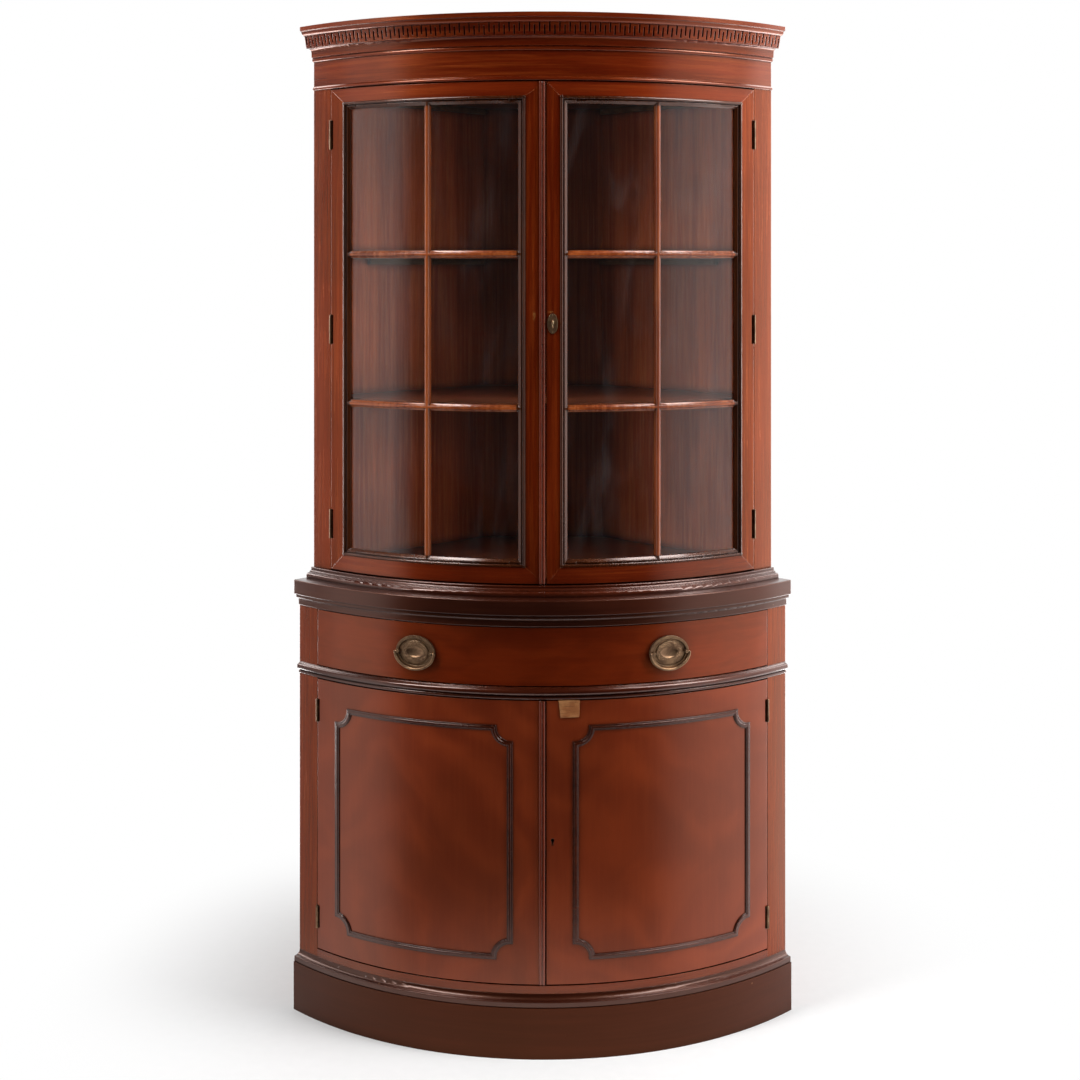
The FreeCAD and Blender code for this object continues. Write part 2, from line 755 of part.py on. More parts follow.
def hinge_notches(side, leaf, hinges, toStile, notchWidth):
    """Room for the leaf in the edge, and for the barrel at the corner."""
    tools = []
    angle = f"({side} * {leaf.pivot})"
    levels, pitch = hinge_levels(leaf, hinges)
    for level in levels:
        tools.append(block(angle, f"{leaf.pivotRadius} - leafWidth", level,
                           ("leafWidth", "leafPlay + leafThick", hinges[0]), side * toStile))
        tools.append(block(angle, f"{leaf.radius} - notchDepth", level,
                           ("notchDepth + pivotOut", notchWidth, hinges[0]), side * toStile))
    return tools


def hinge_leaves(leaf, hinges, toStile):
    """One leaf of every hinge on a door: the outer knuckles for the case, the middle one for the door."""
    length, inset, count = hinges
    levels, pitch = hinge_levels(leaf, hinges)
    owner = "case" if toStile > 0 else "door"
    body = new_body(f"{leaf.name}_{owner}_leaf", leaf.angle(leaf.pivot), leaf.pivotRadius, levels[0])
    sign = leaf.side * toStile
    near = f"{sign} * leafPlay"
    far = f"{sign} * (leafPlay + leafThick)"
    clear = "(barrelRadius + pinPlay * 4)"
    features = [pad(body, [box_points("-leafWidth", f"-{clear}", near, far)], length)]
    knuckle = [(f"-{clear}", near),
               (f"-{clear}", far),
               ("-sqrt(barrelRadius ^ 2 - (leafPlay + leafThick) ^ 2)", far, ("barrelRadius", -sign)),
               ("barrelRadius", "0", ("barrelRadius", -sign)),
               ("0", f"{-sign} * barrelRadius", ("barrelRadius", -sign)),
               ("-sqrt(barrelRadius ^ 2 - leafPlay ^ 2)", near)]
    third = f"{length} / 3"
    spans = [("0", third), (f"2 * {third}", third)] if toStile > 0 else [(third, third)]
    bore = "pinRadius" if toStile > 0 else "pinRadius + pinPlay"
    for index, (start, tall) in enumerate(spans):
        play = "leafPlay" if toStile < 0 else "0"
        feature = pad(body, [knuckle], f"{tall} - 2 * {play}", f"{start} + {play}")
        sketch = feature.Profile[0]
        hole = sketch.addGeometry(Part.Circle(Vector(), Vector(0, 0, 1), value(bore)), False)
        sketch.addConstraint(Sketcher.Constraint("Coincident", hole, 3, -1, 1))
        rule = sketch.addConstraint(Sketcher.Constraint("Radius", hole, value(bore)))
        bind(sketch, f"Constraints[{rule}]", bore)
        features.append(feature)
    row = body.newObject("PartDesign::LinearPattern", "hinges")
    row.Originals = features
    row.Direction = (features[0].Profile[0], ["N_Axis"])
    row.Mode = "Spacing"
    bind(row, "Offset", pitch)
    bind(row, "Occurrences", count)
    body.Tip = row
    return body


def hinge_pins(leaf, hinges):
    levels, pitch = hinge_levels(leaf, hinges)
    return [rod(leaf.angle(leaf.pivot), leaf.pivotRadius, level, ("pinRadius", hinges[0]))
            for level in levels]


def hinges():
    caseLeaves = []
    pins = []
    for leaf in (upperLeft, upperRight, lowerLeft, lowerRight):
        kind = hingeSets[leaf.name.split("_")[0]]
        caseLeaves.append(hinge_leaves(leaf, kind, 1))
        pins += hinge_pins(leaf, kind)
        keep(hinge_leaves(leaf, kind, -1), leaf.name + "_hinge_leaves")
    keep(group(caseLeaves), "case_hinge_leaves")
    keep(group(pins), "hinge_pins")


# ---------------------------------------------------------------- glazed doors

def frame_edges(leaf):
    """Angles of the glazing's outer edges: at the hinge stile and at the meeting stile."""
    hingeEdge = f"({leaf.outer} - {degrees('hingeStileWidth', leaf.radius)})"
    meetEdge = f"({leaf.sight} + {degrees('meetingStileWidth', leaf.radius)})"
    return hingeEdge, meetEdge


def door_frame(leaf, holes):
    """Two stiles and two rails, mitred at the corners."""
    hingeEdge, meetEdge = frame_edges(leaf)
    top = f"({leaf.bottom} + {leaf.height})"
    inner = leaf.inner
    blank = ring(leaf.name + "_blank", box_points(inner, leaf.radius, leaf.bottom, top),
                 leaf.span, leaf.angle(leaf.middle))
    opening = ring(leaf.name + "_opening",
                   box_points(f"{inner} - frontThick", f"{leaf.radius} + frontThick",
                              f"{leaf.bottom} + bottomRailWidth", f"{top} - topRailWidth"),
                   f"{hingeEdge} - {meetEdge}", leaf.angle(f"({hingeEdge} + {meetEdge}) / 2"))
    frame = cut(blank, [opening])

    def across(angle):
        return f"{leaf.side} * {leaf.radius} * sin({angle} - {leaf.middle})"

    wedge = new_body(leaf.name + "_mitres", leaf.angle(leaf.middle))
    beyond = "frontThick"
    far, near = across(leaf.outer), across(leaf.meet)
    farIn, nearIn = across(hingeEdge), across(meetEdge)
    for level, inward, width in ((top, -1, "topRailWidth"), (leaf.bottom, 1, "bottomRailWidth")):
        sketch = new_sketch(wedge, "YZ_Plane")
        # both slopes carry on past the frame's outer edge
        farSlope = f"(({far}) - ({farIn})) / {width}"
        nearSlope = f"(({near}) - ({nearIn})) / {width}"
        draw(sketch, [(farIn, f"{level} + {inward} * {width}"),
                      (f"{far} + {farSlope} * {beyond}", f"{level} - {inward} * {beyond}"),
                      (f"{near} + {nearSlope} * {beyond}", f"{level} - {inward} * {beyond}"),
                      (nearIn, f"{level} + {inward} * {width}")])
        feature = wedge.newObject("PartDesign::Pad", "mitre")
        feature.Profile = sketch
        bind(feature, "Length", f"{leaf.radius} * 2")
    notches = hinge_notches(leaf.side, leaf, hingeSets["upper"], -1, "doorNotchWidth")
    keep(cut(cut(frame, [wedge]), notches + holes), leaf.name + "_stiles")
    keep(common(frame, wedge), leaf.name + "_rails")


def sticking(start, toward, face):
    """The moulded section round the glass; it steps down twice towards the opening."""
    def at(distance):
        return f"{start} + {toward} * ({distance})"

    wide = "stickingWidth"
    back = f"{face} - stickingDepth"
    seat = f"{face} - glassSeat"
    rise = "stickingProjection"
    return [(back, at("0")),
            (face, at("0"), 0.85 * toward),
            (face, at(f"{wide} * 0.4")),
            (f"{face} - {rise} * 1.6", at(f"{wide} * 0.4"), 0.7 * toward),
            (f"{face} - {rise} * 1.6", at(f"{wide} * 0.72")),
            (f"{seat} + {rise}", at(wide)),
            (seat, at(wide)),
            (seat, at(f"{wide} - glassLap")),
            (back, at(f"{wide} - glassLap"))]


def bar(middle, face):
    """A glazing bar: a rounded nose in front of the glass and a thin web between the panes."""
    def at(distance):
        return f"{middle} + ({distance})"

    back = f"{face} - stickingDepth"
    seat = f"{face} - glassSeat"
    rise = "stickingProjection"
    return [(back, at("-barWeb / 2")),
            (seat, at("-barWeb / 2")),
            (seat, at("-barWidth / 2")),
            (f"{seat} + {rise} * 0.8", at("-barWidth / 2"), -0.3),
            (f"{face} - {rise}", at("-barWidth * 0.16")),
            (f"{face} - {rise}", at("barWidth * 0.16"), -0.3),
            (f"{seat} + {rise} * 0.8", at("barWidth / 2")),
            (seat, at("barWidth / 2")),
            (seat, at("barWeb / 2")),
            (back, at("barWeb / 2"))]


def glazing(leaf):
    """The moulded frame and bars that hold six panes, and the panes."""
    face = leaf.radius
    hingeEdge, meetEdge = frame_edges(leaf)
    low = f"({leaf.bottom} + bottomRailWidth)"
    high = f"({leaf.bottom} + {leaf.height} - topRailWidth)"
    middle = f"(({hingeEdge} + {meetEdge}) / 2)"
    span = f"({hingeEdge} - {meetEdge})"
    body = new_body(leaf.name + "_lattice")
    side = leaf.side
    pad(body, [sticking("0", -side, face)], f"{high} - {low}", low, leaf.angle(hingeEdge))
    revolve(body, sticking(low, 1, face), span, leaf.angle(middle))
    pad(body, [sticking("0", side, face)], f"{high} - {low}", low, leaf.angle(meetEdge))
    revolve(body, sticking(high, -1, face), span, leaf.angle(middle))
    pad(body, [bar("0", face)], f"{high} - {low} - stickingWidth", f"{low} + stickingWidth / 2",
        leaf.angle(middle))
    for index in range(2):
        revolve(body, bar(f"{firstBar} + {index} * {panePitch}", face),
                f"{span} - {degrees('stickingWidth', face)}", leaf.angle(middle))
    keep(body, leaf.name + "_glazing")

    glass = new_body(leaf.name + "_panes")
    front = f"({face} - glassSeat)"
    lap = "(glassLap - glassPlay)"
    barLap = "((barWidth - barWeb) / 2 - glassPlay)"
    opening = f"({span} - {degrees('2 * stickingWidth', face)})"
    halfBar = degrees("barWidth / 2", face)
    rows = []
    for index in range(3):
        lowLap = lap if index == 0 else barLap
        highLap = lap if index == 2 else barLap
        foot = f"{openingBottom} + {index} * {panePitch}"
        rows.append((f"{foot} - {lowLap}", f"{foot} + {paneHeight} + {highLap}"))
    for column in (-1, 1):
        columnMiddle = f"({middle} + {column} * ({opening} / 4 + {halfBar} / 2"
        columnMiddle += f" + {degrees(lap, face)} / 2 - {degrees(barLap, face)} / 2))"
        columnSpan = f"({opening} / 2 - {halfBar} + {degrees(lap, face)} + {degrees(barLap, face)})"
        for bottom, top in rows:
            revolve(glass, box_points(f"{front} - glassThick", front, bottom, top),
                    columnSpan, leaf.angle(columnMiddle))
    keep(glass, leaf.name + "_glass")


def meeting_bead(leaf, label):
    """Two rounded beads parted by a groove, along the left leaf's meeting edge."""
    body = new_body(label + "_strip")
    face = leaf.radius
    half = "beadWidth / 2"
    out = "beadProjection"
    seat = f"sqrt(({face}) ^ 2 - ({half}) ^ 2)"
    pad(body, [[(seat, f"-{half}"),
                (f"{face} + {out} * 0.3", f"-{half}", 0.85),
                (f"{face} + {out} * 0.3", "0", 0.85),
                (f"{face} + {out} * 0.3", half),
                (seat, half, (face, -1))]], leaf.height, leaf.bottom)
    return keep(body, label)


# ---------------------------------------------------------------- lower doors

def indented(width, height, centre, inset, shoulder):
    """A rectangle whose corners are cut by quarter rounds, with or without a small shoulder."""
    half = f"({width} / 2 - {inset})"
    tall = f"({height} / 2 - {inset})"
    points = []
    if shoulder:
        near, step = f"({width} / 2 - cornerIndent)", f"({height} / 2 - cornerShoulder)"
        reach, rise = f"({width} / 2 - cornerShoulder)", f"({height} / 2 - cornerIndent)"
        radius = "(cornerIndent - cornerShoulder)"
        quarter = [(near, tall, None), (near, step, radius), (reach, rise, None), (half, rise, None)]
    else:
        radius = f"(cornerIndent - cornerShoulder + {inset})"
        slack = f"sqrt({radius} ^ 2 - ({inset} - cornerShoulder) ^ 2)"
        quarter = [(f"({width} / 2 - cornerShoulder - {slack})", tall, radius),
                   (half, f"({height} / 2 - cornerShoulder - {slack})", None)]
    for signX, signY in ((1, -1), (1, 1), (-1, 1), (-1, -1)):
        corner = list(quarter)
        if signX * signY > 0:
            corner = [(x, y, None) for x, y, bend in reversed(quarter)]
            bends = [bend for x, y, bend in quarter]
            turned = [bends[index] for index in range(len(bends) - 2, -1, -1)] + [None]
            corner = [(x, y, bend) for (x, y, unused), bend in zip(corner, turned)]
        for x, y, bend in corner:
            spot = (f"{signX} * {x}", f"{centre} + {signY} * {y}")
            points.append(spot + ((bend, -1),) if bend else spot)
    return points


def lower_door(leaf, holes):
    """A bowed slab with an applied moulding whose corners are indented."""
    slab = ring(leaf.name + "_slab",
                box_points(leaf.inner, leaf.radius, leaf.bottom, f"{leaf.bottom} + {leaf.height}"),
                leaf.span, leaf.angle(leaf.middle))
    notches = hinge_notches(leaf.side, leaf, hingeSets["lower"], -1, "doorNotchWidth")
    keep(cut(slab, notches + holes), leaf.name + "_door")

    outerEdge = f"({leaf.outer} - {degrees('fieldMargin', leaf.radius)})"
    innerEdge = f"({leaf.sight} + {degrees('fieldMargin', leaf.radius)})"
    middle = f"(({outerEdge} + {innerEdge}) / 2)"
    half = f"(({outerEdge} - {innerEdge}) / 2)"
    width = f"(2 * {leaf.radius} * sin({half}))"
    height = f"({leaf.height} - fieldTopMargin - fieldBottomMargin)"
    centre = f"({leaf.bottom} + fieldBottomMargin + {height} / 2)"
    layers = []
    for index, (low, high, shrink, band) in enumerate((
            (leaf.radius, f"{leaf.radius} + fieldProjection * 0.6", "0", "fieldWidth"),
            (f"{leaf.radius} + fieldProjection * 0.6", f"{leaf.radius} + fieldProjection",
             "(fieldWidth - fieldBeadWidth) / 2", "fieldBeadWidth"))):
        shell = ring(f"{leaf.name}_shell_{index}",
                     box_points(low, high, f"{centre} - {height} / 2 - fieldWidth",
                                f"{centre} + {height} / 2 + fieldWidth"),
                     leaf.span, leaf.angle(leaf.middle))
        prism = new_body(f"{leaf.name}_field_{index}", leaf.angle(middle))
        sketch = new_sketch(prism, "YZ_Plane")
        wide = f"({width} - 2 * ({shrink}))"
        tall = f"({height} - 2 * ({shrink}))"
        draw(sketch, indented(wide, tall, centre, "0", True))
        draw(sketch, indented(wide, tall, centre, band, False))
        feature = prism.newObject("PartDesign::Pad", "band")
        feature.Profile = sketch
        bind(feature, "Length", f"{leaf.radius} * 2")
        layers.append(common(shell, prism))
    keep(join(layers), leaf.name + "_door_moulding")


def pull_tab(leaf):
    """A folded strip of leather over the top edge of the right lower door."""
    top = f"({leaf.bottom} + {leaf.height})"
    face = f"({leaf.radius} + tabPlay)"
    out = f"({face} + tabThick)"
    high = f"({top} + tabPlay + tabThick)"
    middle = f"({leaf.meet} + {degrees('tabStart + tabWidth / 2', leaf.radius)})"
    keep(ring("pull_tab_strip", [
        (f"{face} - tabOverTop", f"{top} + tabPlay"),
        (face, f"{top} + tabPlay"),
        (face, f"{top} - tabDrop"),
        (out, f"{top} - tabDrop"),
        (out, high),
        (f"{face} - tabOverTop", high)], degrees("tabWidth", leaf.radius), leaf.angle(middle)), "pull_tab")


# ---------------------------------------------------------------- locks, key and slide bolts

def key_angle(leaf):
    return leaf.angle(f"{leaf.meet} + {degrees('keyInset', leaf.radius)}")


def keyhole(leaf, level, start, reach):
    """A round hole with a slot below it."""
    angle = key_angle(leaf)
    slot = "(keyBitReach + keyPlay * 8)"
    return [rod(angle, start, level, ("keyholeRadius", reach), "out"),
            block(angle, start, f"{level} - {slot}", (reach, "keyBitThick * 1.4", slot), 1,
                  "-keyBitThick * 0.7")]


def lock(leaf, level, label):
    """A surface lock on the leaf's inner face, with the slot its bolt runs in."""
    inner = leaf.inner
    body = ring(label + "_case", box_points(f"{inner} - lockThick", inner,
                                            f"{level} - lockHeight / 2", f"{level} + lockHeight / 2"),
                degrees("lockWidth", inner),
                leaf.angle(f"{leaf.meet} + {degrees('lockInset + lockWidth / 2', inner)}"))
    angle = key_angle(leaf)
    slot = block(angle, f"{inner} - (lockThick + boltThick) / 2 - boltPlay",
                 f"{level} + boltRise - boltPlay",
                 ("boltThick + 2 * boltPlay", "boltLength + keyInset", "boltHeight + 2 * boltPlay"),
                 1, "-keyInset")
    room = rod(angle, f"{inner} - lockThick * 0.6", level,
               ("keyBitReach + keyPlay * 8", "lockThick"), "out")
    bore = rod(angle, f"{inner} - lockThick * 1.5", level, ("keyRadius + keyPlay", "lockThick"), "out")
    keep(cut(body, [slot, room, bore]), label)
    bolt = block(angle, f"{inner} - (lockThick + boltThick) / 2", f"{level} + boltRise",
                 ("boltThick", "boltLength", "boltHeight"), 1, "lockInset - keyInset")
    keep(bolt, label + "_bolt")


def key(leaf, level):
    """Bow, shank and bit, in one piece, with the bit hanging down in the lock."""
    angle = key_angle(leaf)
    tip = f"{leaf.inner} - lockThick"
    end = f"{leaf.radius} + keyShankOut"
    shank = rod(angle, tip, level, ("keyRadius", f"{end} - ({tip})"), "out")
    bit = block(angle, f"{leaf.inner} - lockThick * 0.5", f"{level} - keyBitReach",
                ("lockThick * 0.4", "keyBitThick", "keyBitReach"), 1, "-keyBitThick / 2")
    centre = f"{end} + keyBowHole"
    bow = rod(angle, centre, level, ("keyBowRadius", "keyBowThick"), "across", "-keyBowThick / 2")
    eye = rod(angle, centre, level, ("keyBowHole", "keyBowThick * 2"), "across", "-keyBowThick")
    keep(cut(join([shank, bit, bow]), [eye]), "key")


def escutcheon(leaf, level):
    """An oval plate round the keyhole."""
    angle = key_angle(leaf)
    plate = oval(angle, f"{leaf.radius} - escutcheonThick * 0.2", level,
                 "escutcheonHeight / 2", "escutcheonWidth / 2", "escutcheonThick * 1.2", True)
    shell = ring("escutcheon_seat", box_points("0", leaf.radius, f"{level} - escutcheonHeight",
                                               f"{level} + escutcheonHeight"), "20", angle)
    keep(cut(plate, [shell] + keyhole(leaf, level, leaf.inner, "frontThick * 2")), "escutcheon")


def slide_angle(leaf):
    return leaf.angle(f"{leaf.meet} + {degrees('slidePlace', leaf.radius)}")


def slide_hole(leaf, boardTop):
    """The hole in a board that the rod drops into."""
    return rod(slide_angle(leaf), f"{leaf.inner} - slideRodIn", f"{boardTop} - slideTravel",
               ("slideRodRadius + slideHolePlay", "slideTravel * 2"))


def slide_bolt(leaf, boardTop, label):
    """A plate with two guides on the leaf's inner face, and the rod that slides down in them."""
    angle = slide_angle(leaf)
    inner = leaf.inner
    axis = f"({inner} - slideRodIn)"
    foot = f"({leaf.bottom} + slidePlateRise)"
    plate = ring(label + "_back", box_points(f"{inner} - slidePlateThick", inner, foot,
                                             f"{foot} + slidePlateHeight"),
                 degrees("slidePlateWidth", inner), angle)
    deep = "(slideRodIn + slideRodRadius + 1.5 * slidePlateThick)"
    guides = [block(angle, f"{inner} - {deep}", f"{foot} + {rise}",
                    (f"{deep} - slidePlateThick / 2", "slideGuideWidth", "slideGuideHeight"), 1,
                    "-slideGuideWidth / 2")
              for rise in ("slidePlateThick", "slidePlateHeight / 2 - slideGuideHeight")]
    passage = rod(angle, axis, leaf.bottom, ("slideRodRadius + slideRodPlay", "slidePlateHeight * 2"))
    keep(cut(join([plate] + guides), [passage]), label + "_plate")
    low = f"({boardTop} + slideRodLift)"
    bar = rod(angle, axis, low, ("slideRodRadius", "slideRodLength"))
    knob = rod(angle, f"{axis} - slideRodRadius - slideKnobLength",
               f"{low} + slideRodLength - slideKnobRadius - slidePlateThick",
               ("slideKnobRadius", "slideRodRadius + slideKnobLength"), "out")
    keep(join([bar, knob]), label + "_rod")


# ---------------------------------------------------------------- drawer

def oval(angle, radius, level, longHalf, shortHalf, thick, upright=False):
    """A flat oval facing outwards, long across or long upwards."""
    curve = doc.addObject("Part::Ellipse", "oval")
    bind(curve, "MajorRadius", longHalf)
    bind(curve, "MinorRadius", shortHalf)
    raised = doc.addObject("Part::Extrusion", "oval_plate")
    raised.Base = curve
    raised.DirMode = "Custom"
    raised.Dir = Vector(0, 0, 1)
    raised.Solid = True
    bind(raised, "LengthFwd", thick)
    facing = Rotation(Vector(0, 1, 0), 90)
    raised.Placement = Placement(Vector(), facing if upright else facing * Rotation(Vector(0, 0, 1), 90))
    stand = doc.addObject("Part::Compound", "oval_placed")
    stand.Links = [raised]
    place(stand, angle, radius, level)
    return stand


def pull_plate(side):
    """An oval plate with a raised rim, a boss with a dome on it, and two posts."""
    angle = f"({side} * pullAngle)"
    level = f"({drawerBottom} + drawerFaceHeight / 2)"
    back = "bodyRadius - pullPlate"
    long, short = "pullWidth / 2", "pullHeight / 2"
    full = oval(angle, back, level, long, short, "pullPlate + pullRimHeight")
    hollow = oval(angle, "bodyRadius + pullPlate * 0.6", level, f"{long} - pullRim", f"{short} - pullRim",
                  "pullPlate + pullRimHeight")
    seat = ring(f"pull_seat_{side}", box_points("0", "bodyRadius", f"{level} - pullHeight",
                                                f"{level} + pullHeight"), "30", angle)
    rim = cut(full, [hollow, seat])
    boss = oval(angle, "bodyRadius", level, "bossWidth / 2", "bossHeight / 2", "pullPlate * 0.6 + bossRise")
    dome = doc.addObject("Part::Ellipsoid", "dome")
    for name, reach in (("Radius1", "domeHeight / 2"), ("Radius2", "domeRise"), ("Radius3", "domeWidth / 2")):
        bind(dome, name, reach)
    place(dome, angle, "bodyRadius + pullPlate * 0.6 + bossRise", level)
    posts = [rod(angle, "bodyRadius", level, ("postRadius", "bailOut + postRadius"), "out",
                 f"{end} * postPlace") for end in (-1, 1)]
    bores = [rod(angle, "bodyRadius + bailOut", level, ("bailPinRadius + pinPlay", "postRadius * 4"),
                 "across", f"{end} * postPlace - postRadius * 2") for end in (-1, 1)]
    return cut(join([rim, boss, dome] + posts), bores)


def bail(side, label):
    """A hanging handle bent to half an oval, with a pin turned in at each end."""
    angle = f"({side} * pullAngle)"
    level = f"({drawerBottom} + drawerFaceHeight / 2)"
    body = new_body(label + "_bar", angle, "bodyRadius + bailOut", level)
    wide = "(bailHalfWidth - bailEndRadius)"
    deep = "(bailDrop - bailEndRadius)"
    lift = f"(({wide} ^ 2 - {deep} ^ 2) / (2 * {deep}))"
    far = f"sqrt({wide} ^ 2 + {lift} ^ 2)"
    touchX = f"({wide} * (1 + bailEndRadius / {far}))"
    touchY = f"({lift} * bailEndRadius / {far})"
    path = new_sketch(body, "YZ_Plane")
    draw(path, [("-bailHalfWidth", "0", ("bailEndRadius", 1)),
                (f"-{touchX}", f"-{touchY}", (f"bailDrop + {lift}", 1)),
                (touchX, f"-{touchY}", ("bailEndRadius", 1)),
                ("bailHalfWidth", "0")], False)
    section = new_sketch(body, "XY_Plane")
    circle = section.addGeometry(Part.Circle(Vector(0, -value("bailHalfWidth"), 0), Vector(0, 0, 1),
                                             value("bailRadius")), False)
    rules = [Sketcher.Constraint("Radius", circle, value("bailRadius")),
             Sketcher.Constraint("PointOnObject", circle, 3, -2),
             Sketcher.Constraint("DistanceY", circle, 3, -value("bailHalfWidth"))]
    first = section.ConstraintCount
    section.addConstraint(rules)
    bind(section, f"Constraints[{first}]", "bailRadius")
    bind(section, f"Constraints[{first + 2}]", "-bailHalfWidth")
    pipe = body.newObject("PartDesign::AdditivePipe", "bail_pipe")
    pipe.Profile = section
    pipe.Spine = path
    pins = [rod(angle, "bodyRadius + bailOut", level, ("bailPinRadius", "bailPinReach"), "across", shift)
            for shift in ("-bailHalfWidth", "bailHalfWidth - bailPinReach")]
    keep(join([body] + pins), label)


def drawer():
    low, high = drawerBottom, f"({drawerBottom} + drawerFaceHeight)"
    span = f"2 * ({lowerRight.stileEdge} - {degrees('hingeGap', 'bodyRadius')})"
    keep(ring("drawer_front_slab", box_points(lowerInner, "bodyRadius", low, high), span), "drawer_front")
    foot = f"({dustBoardTop} + runnerHeight)"
    outer = "drawerBoxWidth / 2"
    inside = f"({outer} - drawerSideThick)"

    def front(across):
        return f"sqrt({lowerInner} ^ 2 - ({across}) ^ 2)"

    sides = []
    for side in (-1, 1):
        body = new_body(f"drawer_side_{'left' if side < 0 else 'right'}")
        pad(body, [[(drawerBoxBack, f"{side} * {inside}"), (drawerBoxBack, f"{side} * {outer}"),
                    (front(outer), f"{side} * {outer}", (lowerInner, -side)),
                    (front(inside), f"{side} * {inside}")]], "drawerSideHeight", foot)
        sides.append(body)
    keep(group(sides), "drawer_sides")
    panelLow = f"({foot} + drawerBottomRise)"
    panel = new_body("drawer_bottom_panel")
    pad(panel, [[(drawerBoxBack, f"-{inside}"), (front(inside), f"-{inside}", (lowerInner, 1)),
                 (front(inside), inside), (drawerBoxBack, inside)]], "drawerBottomThick", panelLow)
    keep(panel, "drawer_bottom")
    back = new_body("drawer_back_board")
    pad(back, [box_points(drawerBoxBack, f"{drawerBoxBack} + drawerSideThick", f"-{inside}", inside)],
        "drawerSideHeight - drawerBottomRise - drawerBottomThick", f"{panelLow} + drawerBottomThick")
    keep(back, "drawer_back")
    keep(group([pull_plate(-1), pull_plate(1)]), "pull_plates")
    bail(-1, "bail_left")
    bail(1, "bail_right")


def drawer_guides():
    """Runners under the drawer's sides, each with a guide beside the side."""
    outer = "drawerBoxWidth / 2"
    strips = []
    for side in (-1, 1):
        body = new_body(f"drawer_guide_{'left' if side < 0 else 'right'}")
        near = f"{side} * ({outer} + guidePlay)"
        far = f"{side} * ({outer} + guidePlay + guideWidth)"
        under = f"{side} * ({outer} + guidePlay + guideWidth - runnerWidth)"
        start = f"{drawerBoxBack} + guideWidth"
        end = f"sqrt({lowerStop} ^ 2 - ({outer} + guidePlay + guideWidth) ^ 2)"
        pad(body, [box_points(start, end, under, far)], "runnerHeight - guidePlay / 2", dustBoardTop)
        pad(body, [box_points(start, end, near, far)], "guideHeight + guidePlay / 2",
            f"{dustBoardTop} + runnerHeight - guidePlay / 2")
        strips.append(body)
    keep(group(strips), "drawer_guides")


# ---------------------------------------------------------------- assembly

upperKeyLevel = f"({upperDoorBottom} + upperLockHeight)"
lowerKeyLevel = f"({lowerDoorBottom} + lowerLockHeight)"

plinth()
boards()
front_rails()
stiles("lower_stiles", lowerRight, lowerStop, boardLevel, counterMouldingBottom, "lowerStileWidth",
       hingeSets["lower"])
back_panels("lower_backs", lowerStop, "0", counterBottom)
cleats()
waist_moulding()
drawer_guides()
counter_moulding()
countertop()
upper_base()
stiles("upper_stiles", upperRight, upperStop, upperBaseTop, friezeBottom, "upperStileWidth",
       hingeSets["upper"])
back_panels("upper_backs", upperStop, counterTop, f"{corniceTop} - backShort - {counterTop}")
frieze()
cornice()
fret_band()
hinges()
door_frame(upperLeft, [])
door_frame(upperRight, keyhole(upperRight, upperKeyLevel, f"{upperInner} - keyholeRadius",
                               "frontThick + keyholeRadius * 2"))
glazing(upperLeft)
glazing(upperRight)
meeting_bead(upperLeft, "upper_meeting_bead")
escutcheon(upperRight, upperKeyLevel)
lock(upperRight, upperKeyLevel, "upper_lock")
key(upperRight, upperKeyLevel)
slide_bolt(upperLeft, upperFloorTop, "upper_slide")
lower_door(lowerLeft, [])
lower_door(lowerRight, keyhole(lowerRight, lowerKeyLevel, f"{lowerInner} - keyholeRadius",
                               "frontThick + keyholeRadius * 2"))
meeting_bead(lowerLeft, "lower_meeting_bead")
lock(lowerRight, lowerKeyLevel, "lower_lock")
slide_bolt(lowerLeft, bottomBoardTop, "lower_slide")
pull_tab(lowerRight)
drawer()
doc.recompute()

for thing in doc.Objects:
    if "Invalid" in thing.State or "Error" in thing.State:
        raise RuntimeError(f"{thing.Name} ({thing.Label}) did not build: {thing.State}")
for thing in nodes:
    if thing.Shape.isNull() or not thing.Shape.isValid() or not thing.Shape.Solids:
        raise RuntimeError(f"{thing.Label} has no valid solid")

os.makedirs("parts", exist_ok=True)
for thing in nodes:
    thing.Shape.exportStep(f"parts/{thing.Label}.step")
print(len(nodes), "nodes,", sum(len(thing.Shape.Solids) for thing in nodes), "solids")
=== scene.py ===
import math

import bmesh
import bpy
from mathutils import Matrix, Vector


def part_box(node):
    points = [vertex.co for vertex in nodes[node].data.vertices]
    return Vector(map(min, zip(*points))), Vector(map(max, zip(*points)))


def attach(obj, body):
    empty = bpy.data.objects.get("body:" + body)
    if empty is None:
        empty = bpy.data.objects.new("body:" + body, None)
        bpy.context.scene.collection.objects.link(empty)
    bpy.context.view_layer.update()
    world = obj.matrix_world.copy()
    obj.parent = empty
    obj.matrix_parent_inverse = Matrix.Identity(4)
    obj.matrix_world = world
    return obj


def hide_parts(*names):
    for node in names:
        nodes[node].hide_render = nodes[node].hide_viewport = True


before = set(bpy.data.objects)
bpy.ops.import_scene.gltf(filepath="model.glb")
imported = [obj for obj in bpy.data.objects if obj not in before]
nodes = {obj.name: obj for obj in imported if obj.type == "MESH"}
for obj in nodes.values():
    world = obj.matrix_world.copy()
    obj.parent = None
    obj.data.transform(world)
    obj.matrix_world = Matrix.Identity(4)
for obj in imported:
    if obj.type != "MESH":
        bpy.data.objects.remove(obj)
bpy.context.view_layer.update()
bowAxis = 0.4175                 # y of the upright line that every front is bowed about
lowerFace = 0.685                # radius of the lower stage's fronts
upperFace = 0.650                # and of the upper stage's
print("frame loaded:", len(nodes), "nodes")


# camera, at standing eye height in front of the cabinet

camera = {
    "place": (0.0082, -3.3115, 1.484),
    "turn": 0.004,               # about the upright, in radians
    "focal": 1626 / 1080,        # of the picture's width
    "horizon": (263.2 - 540) / 1080,
    "sensor": 36,
    "farthest": 60,
}


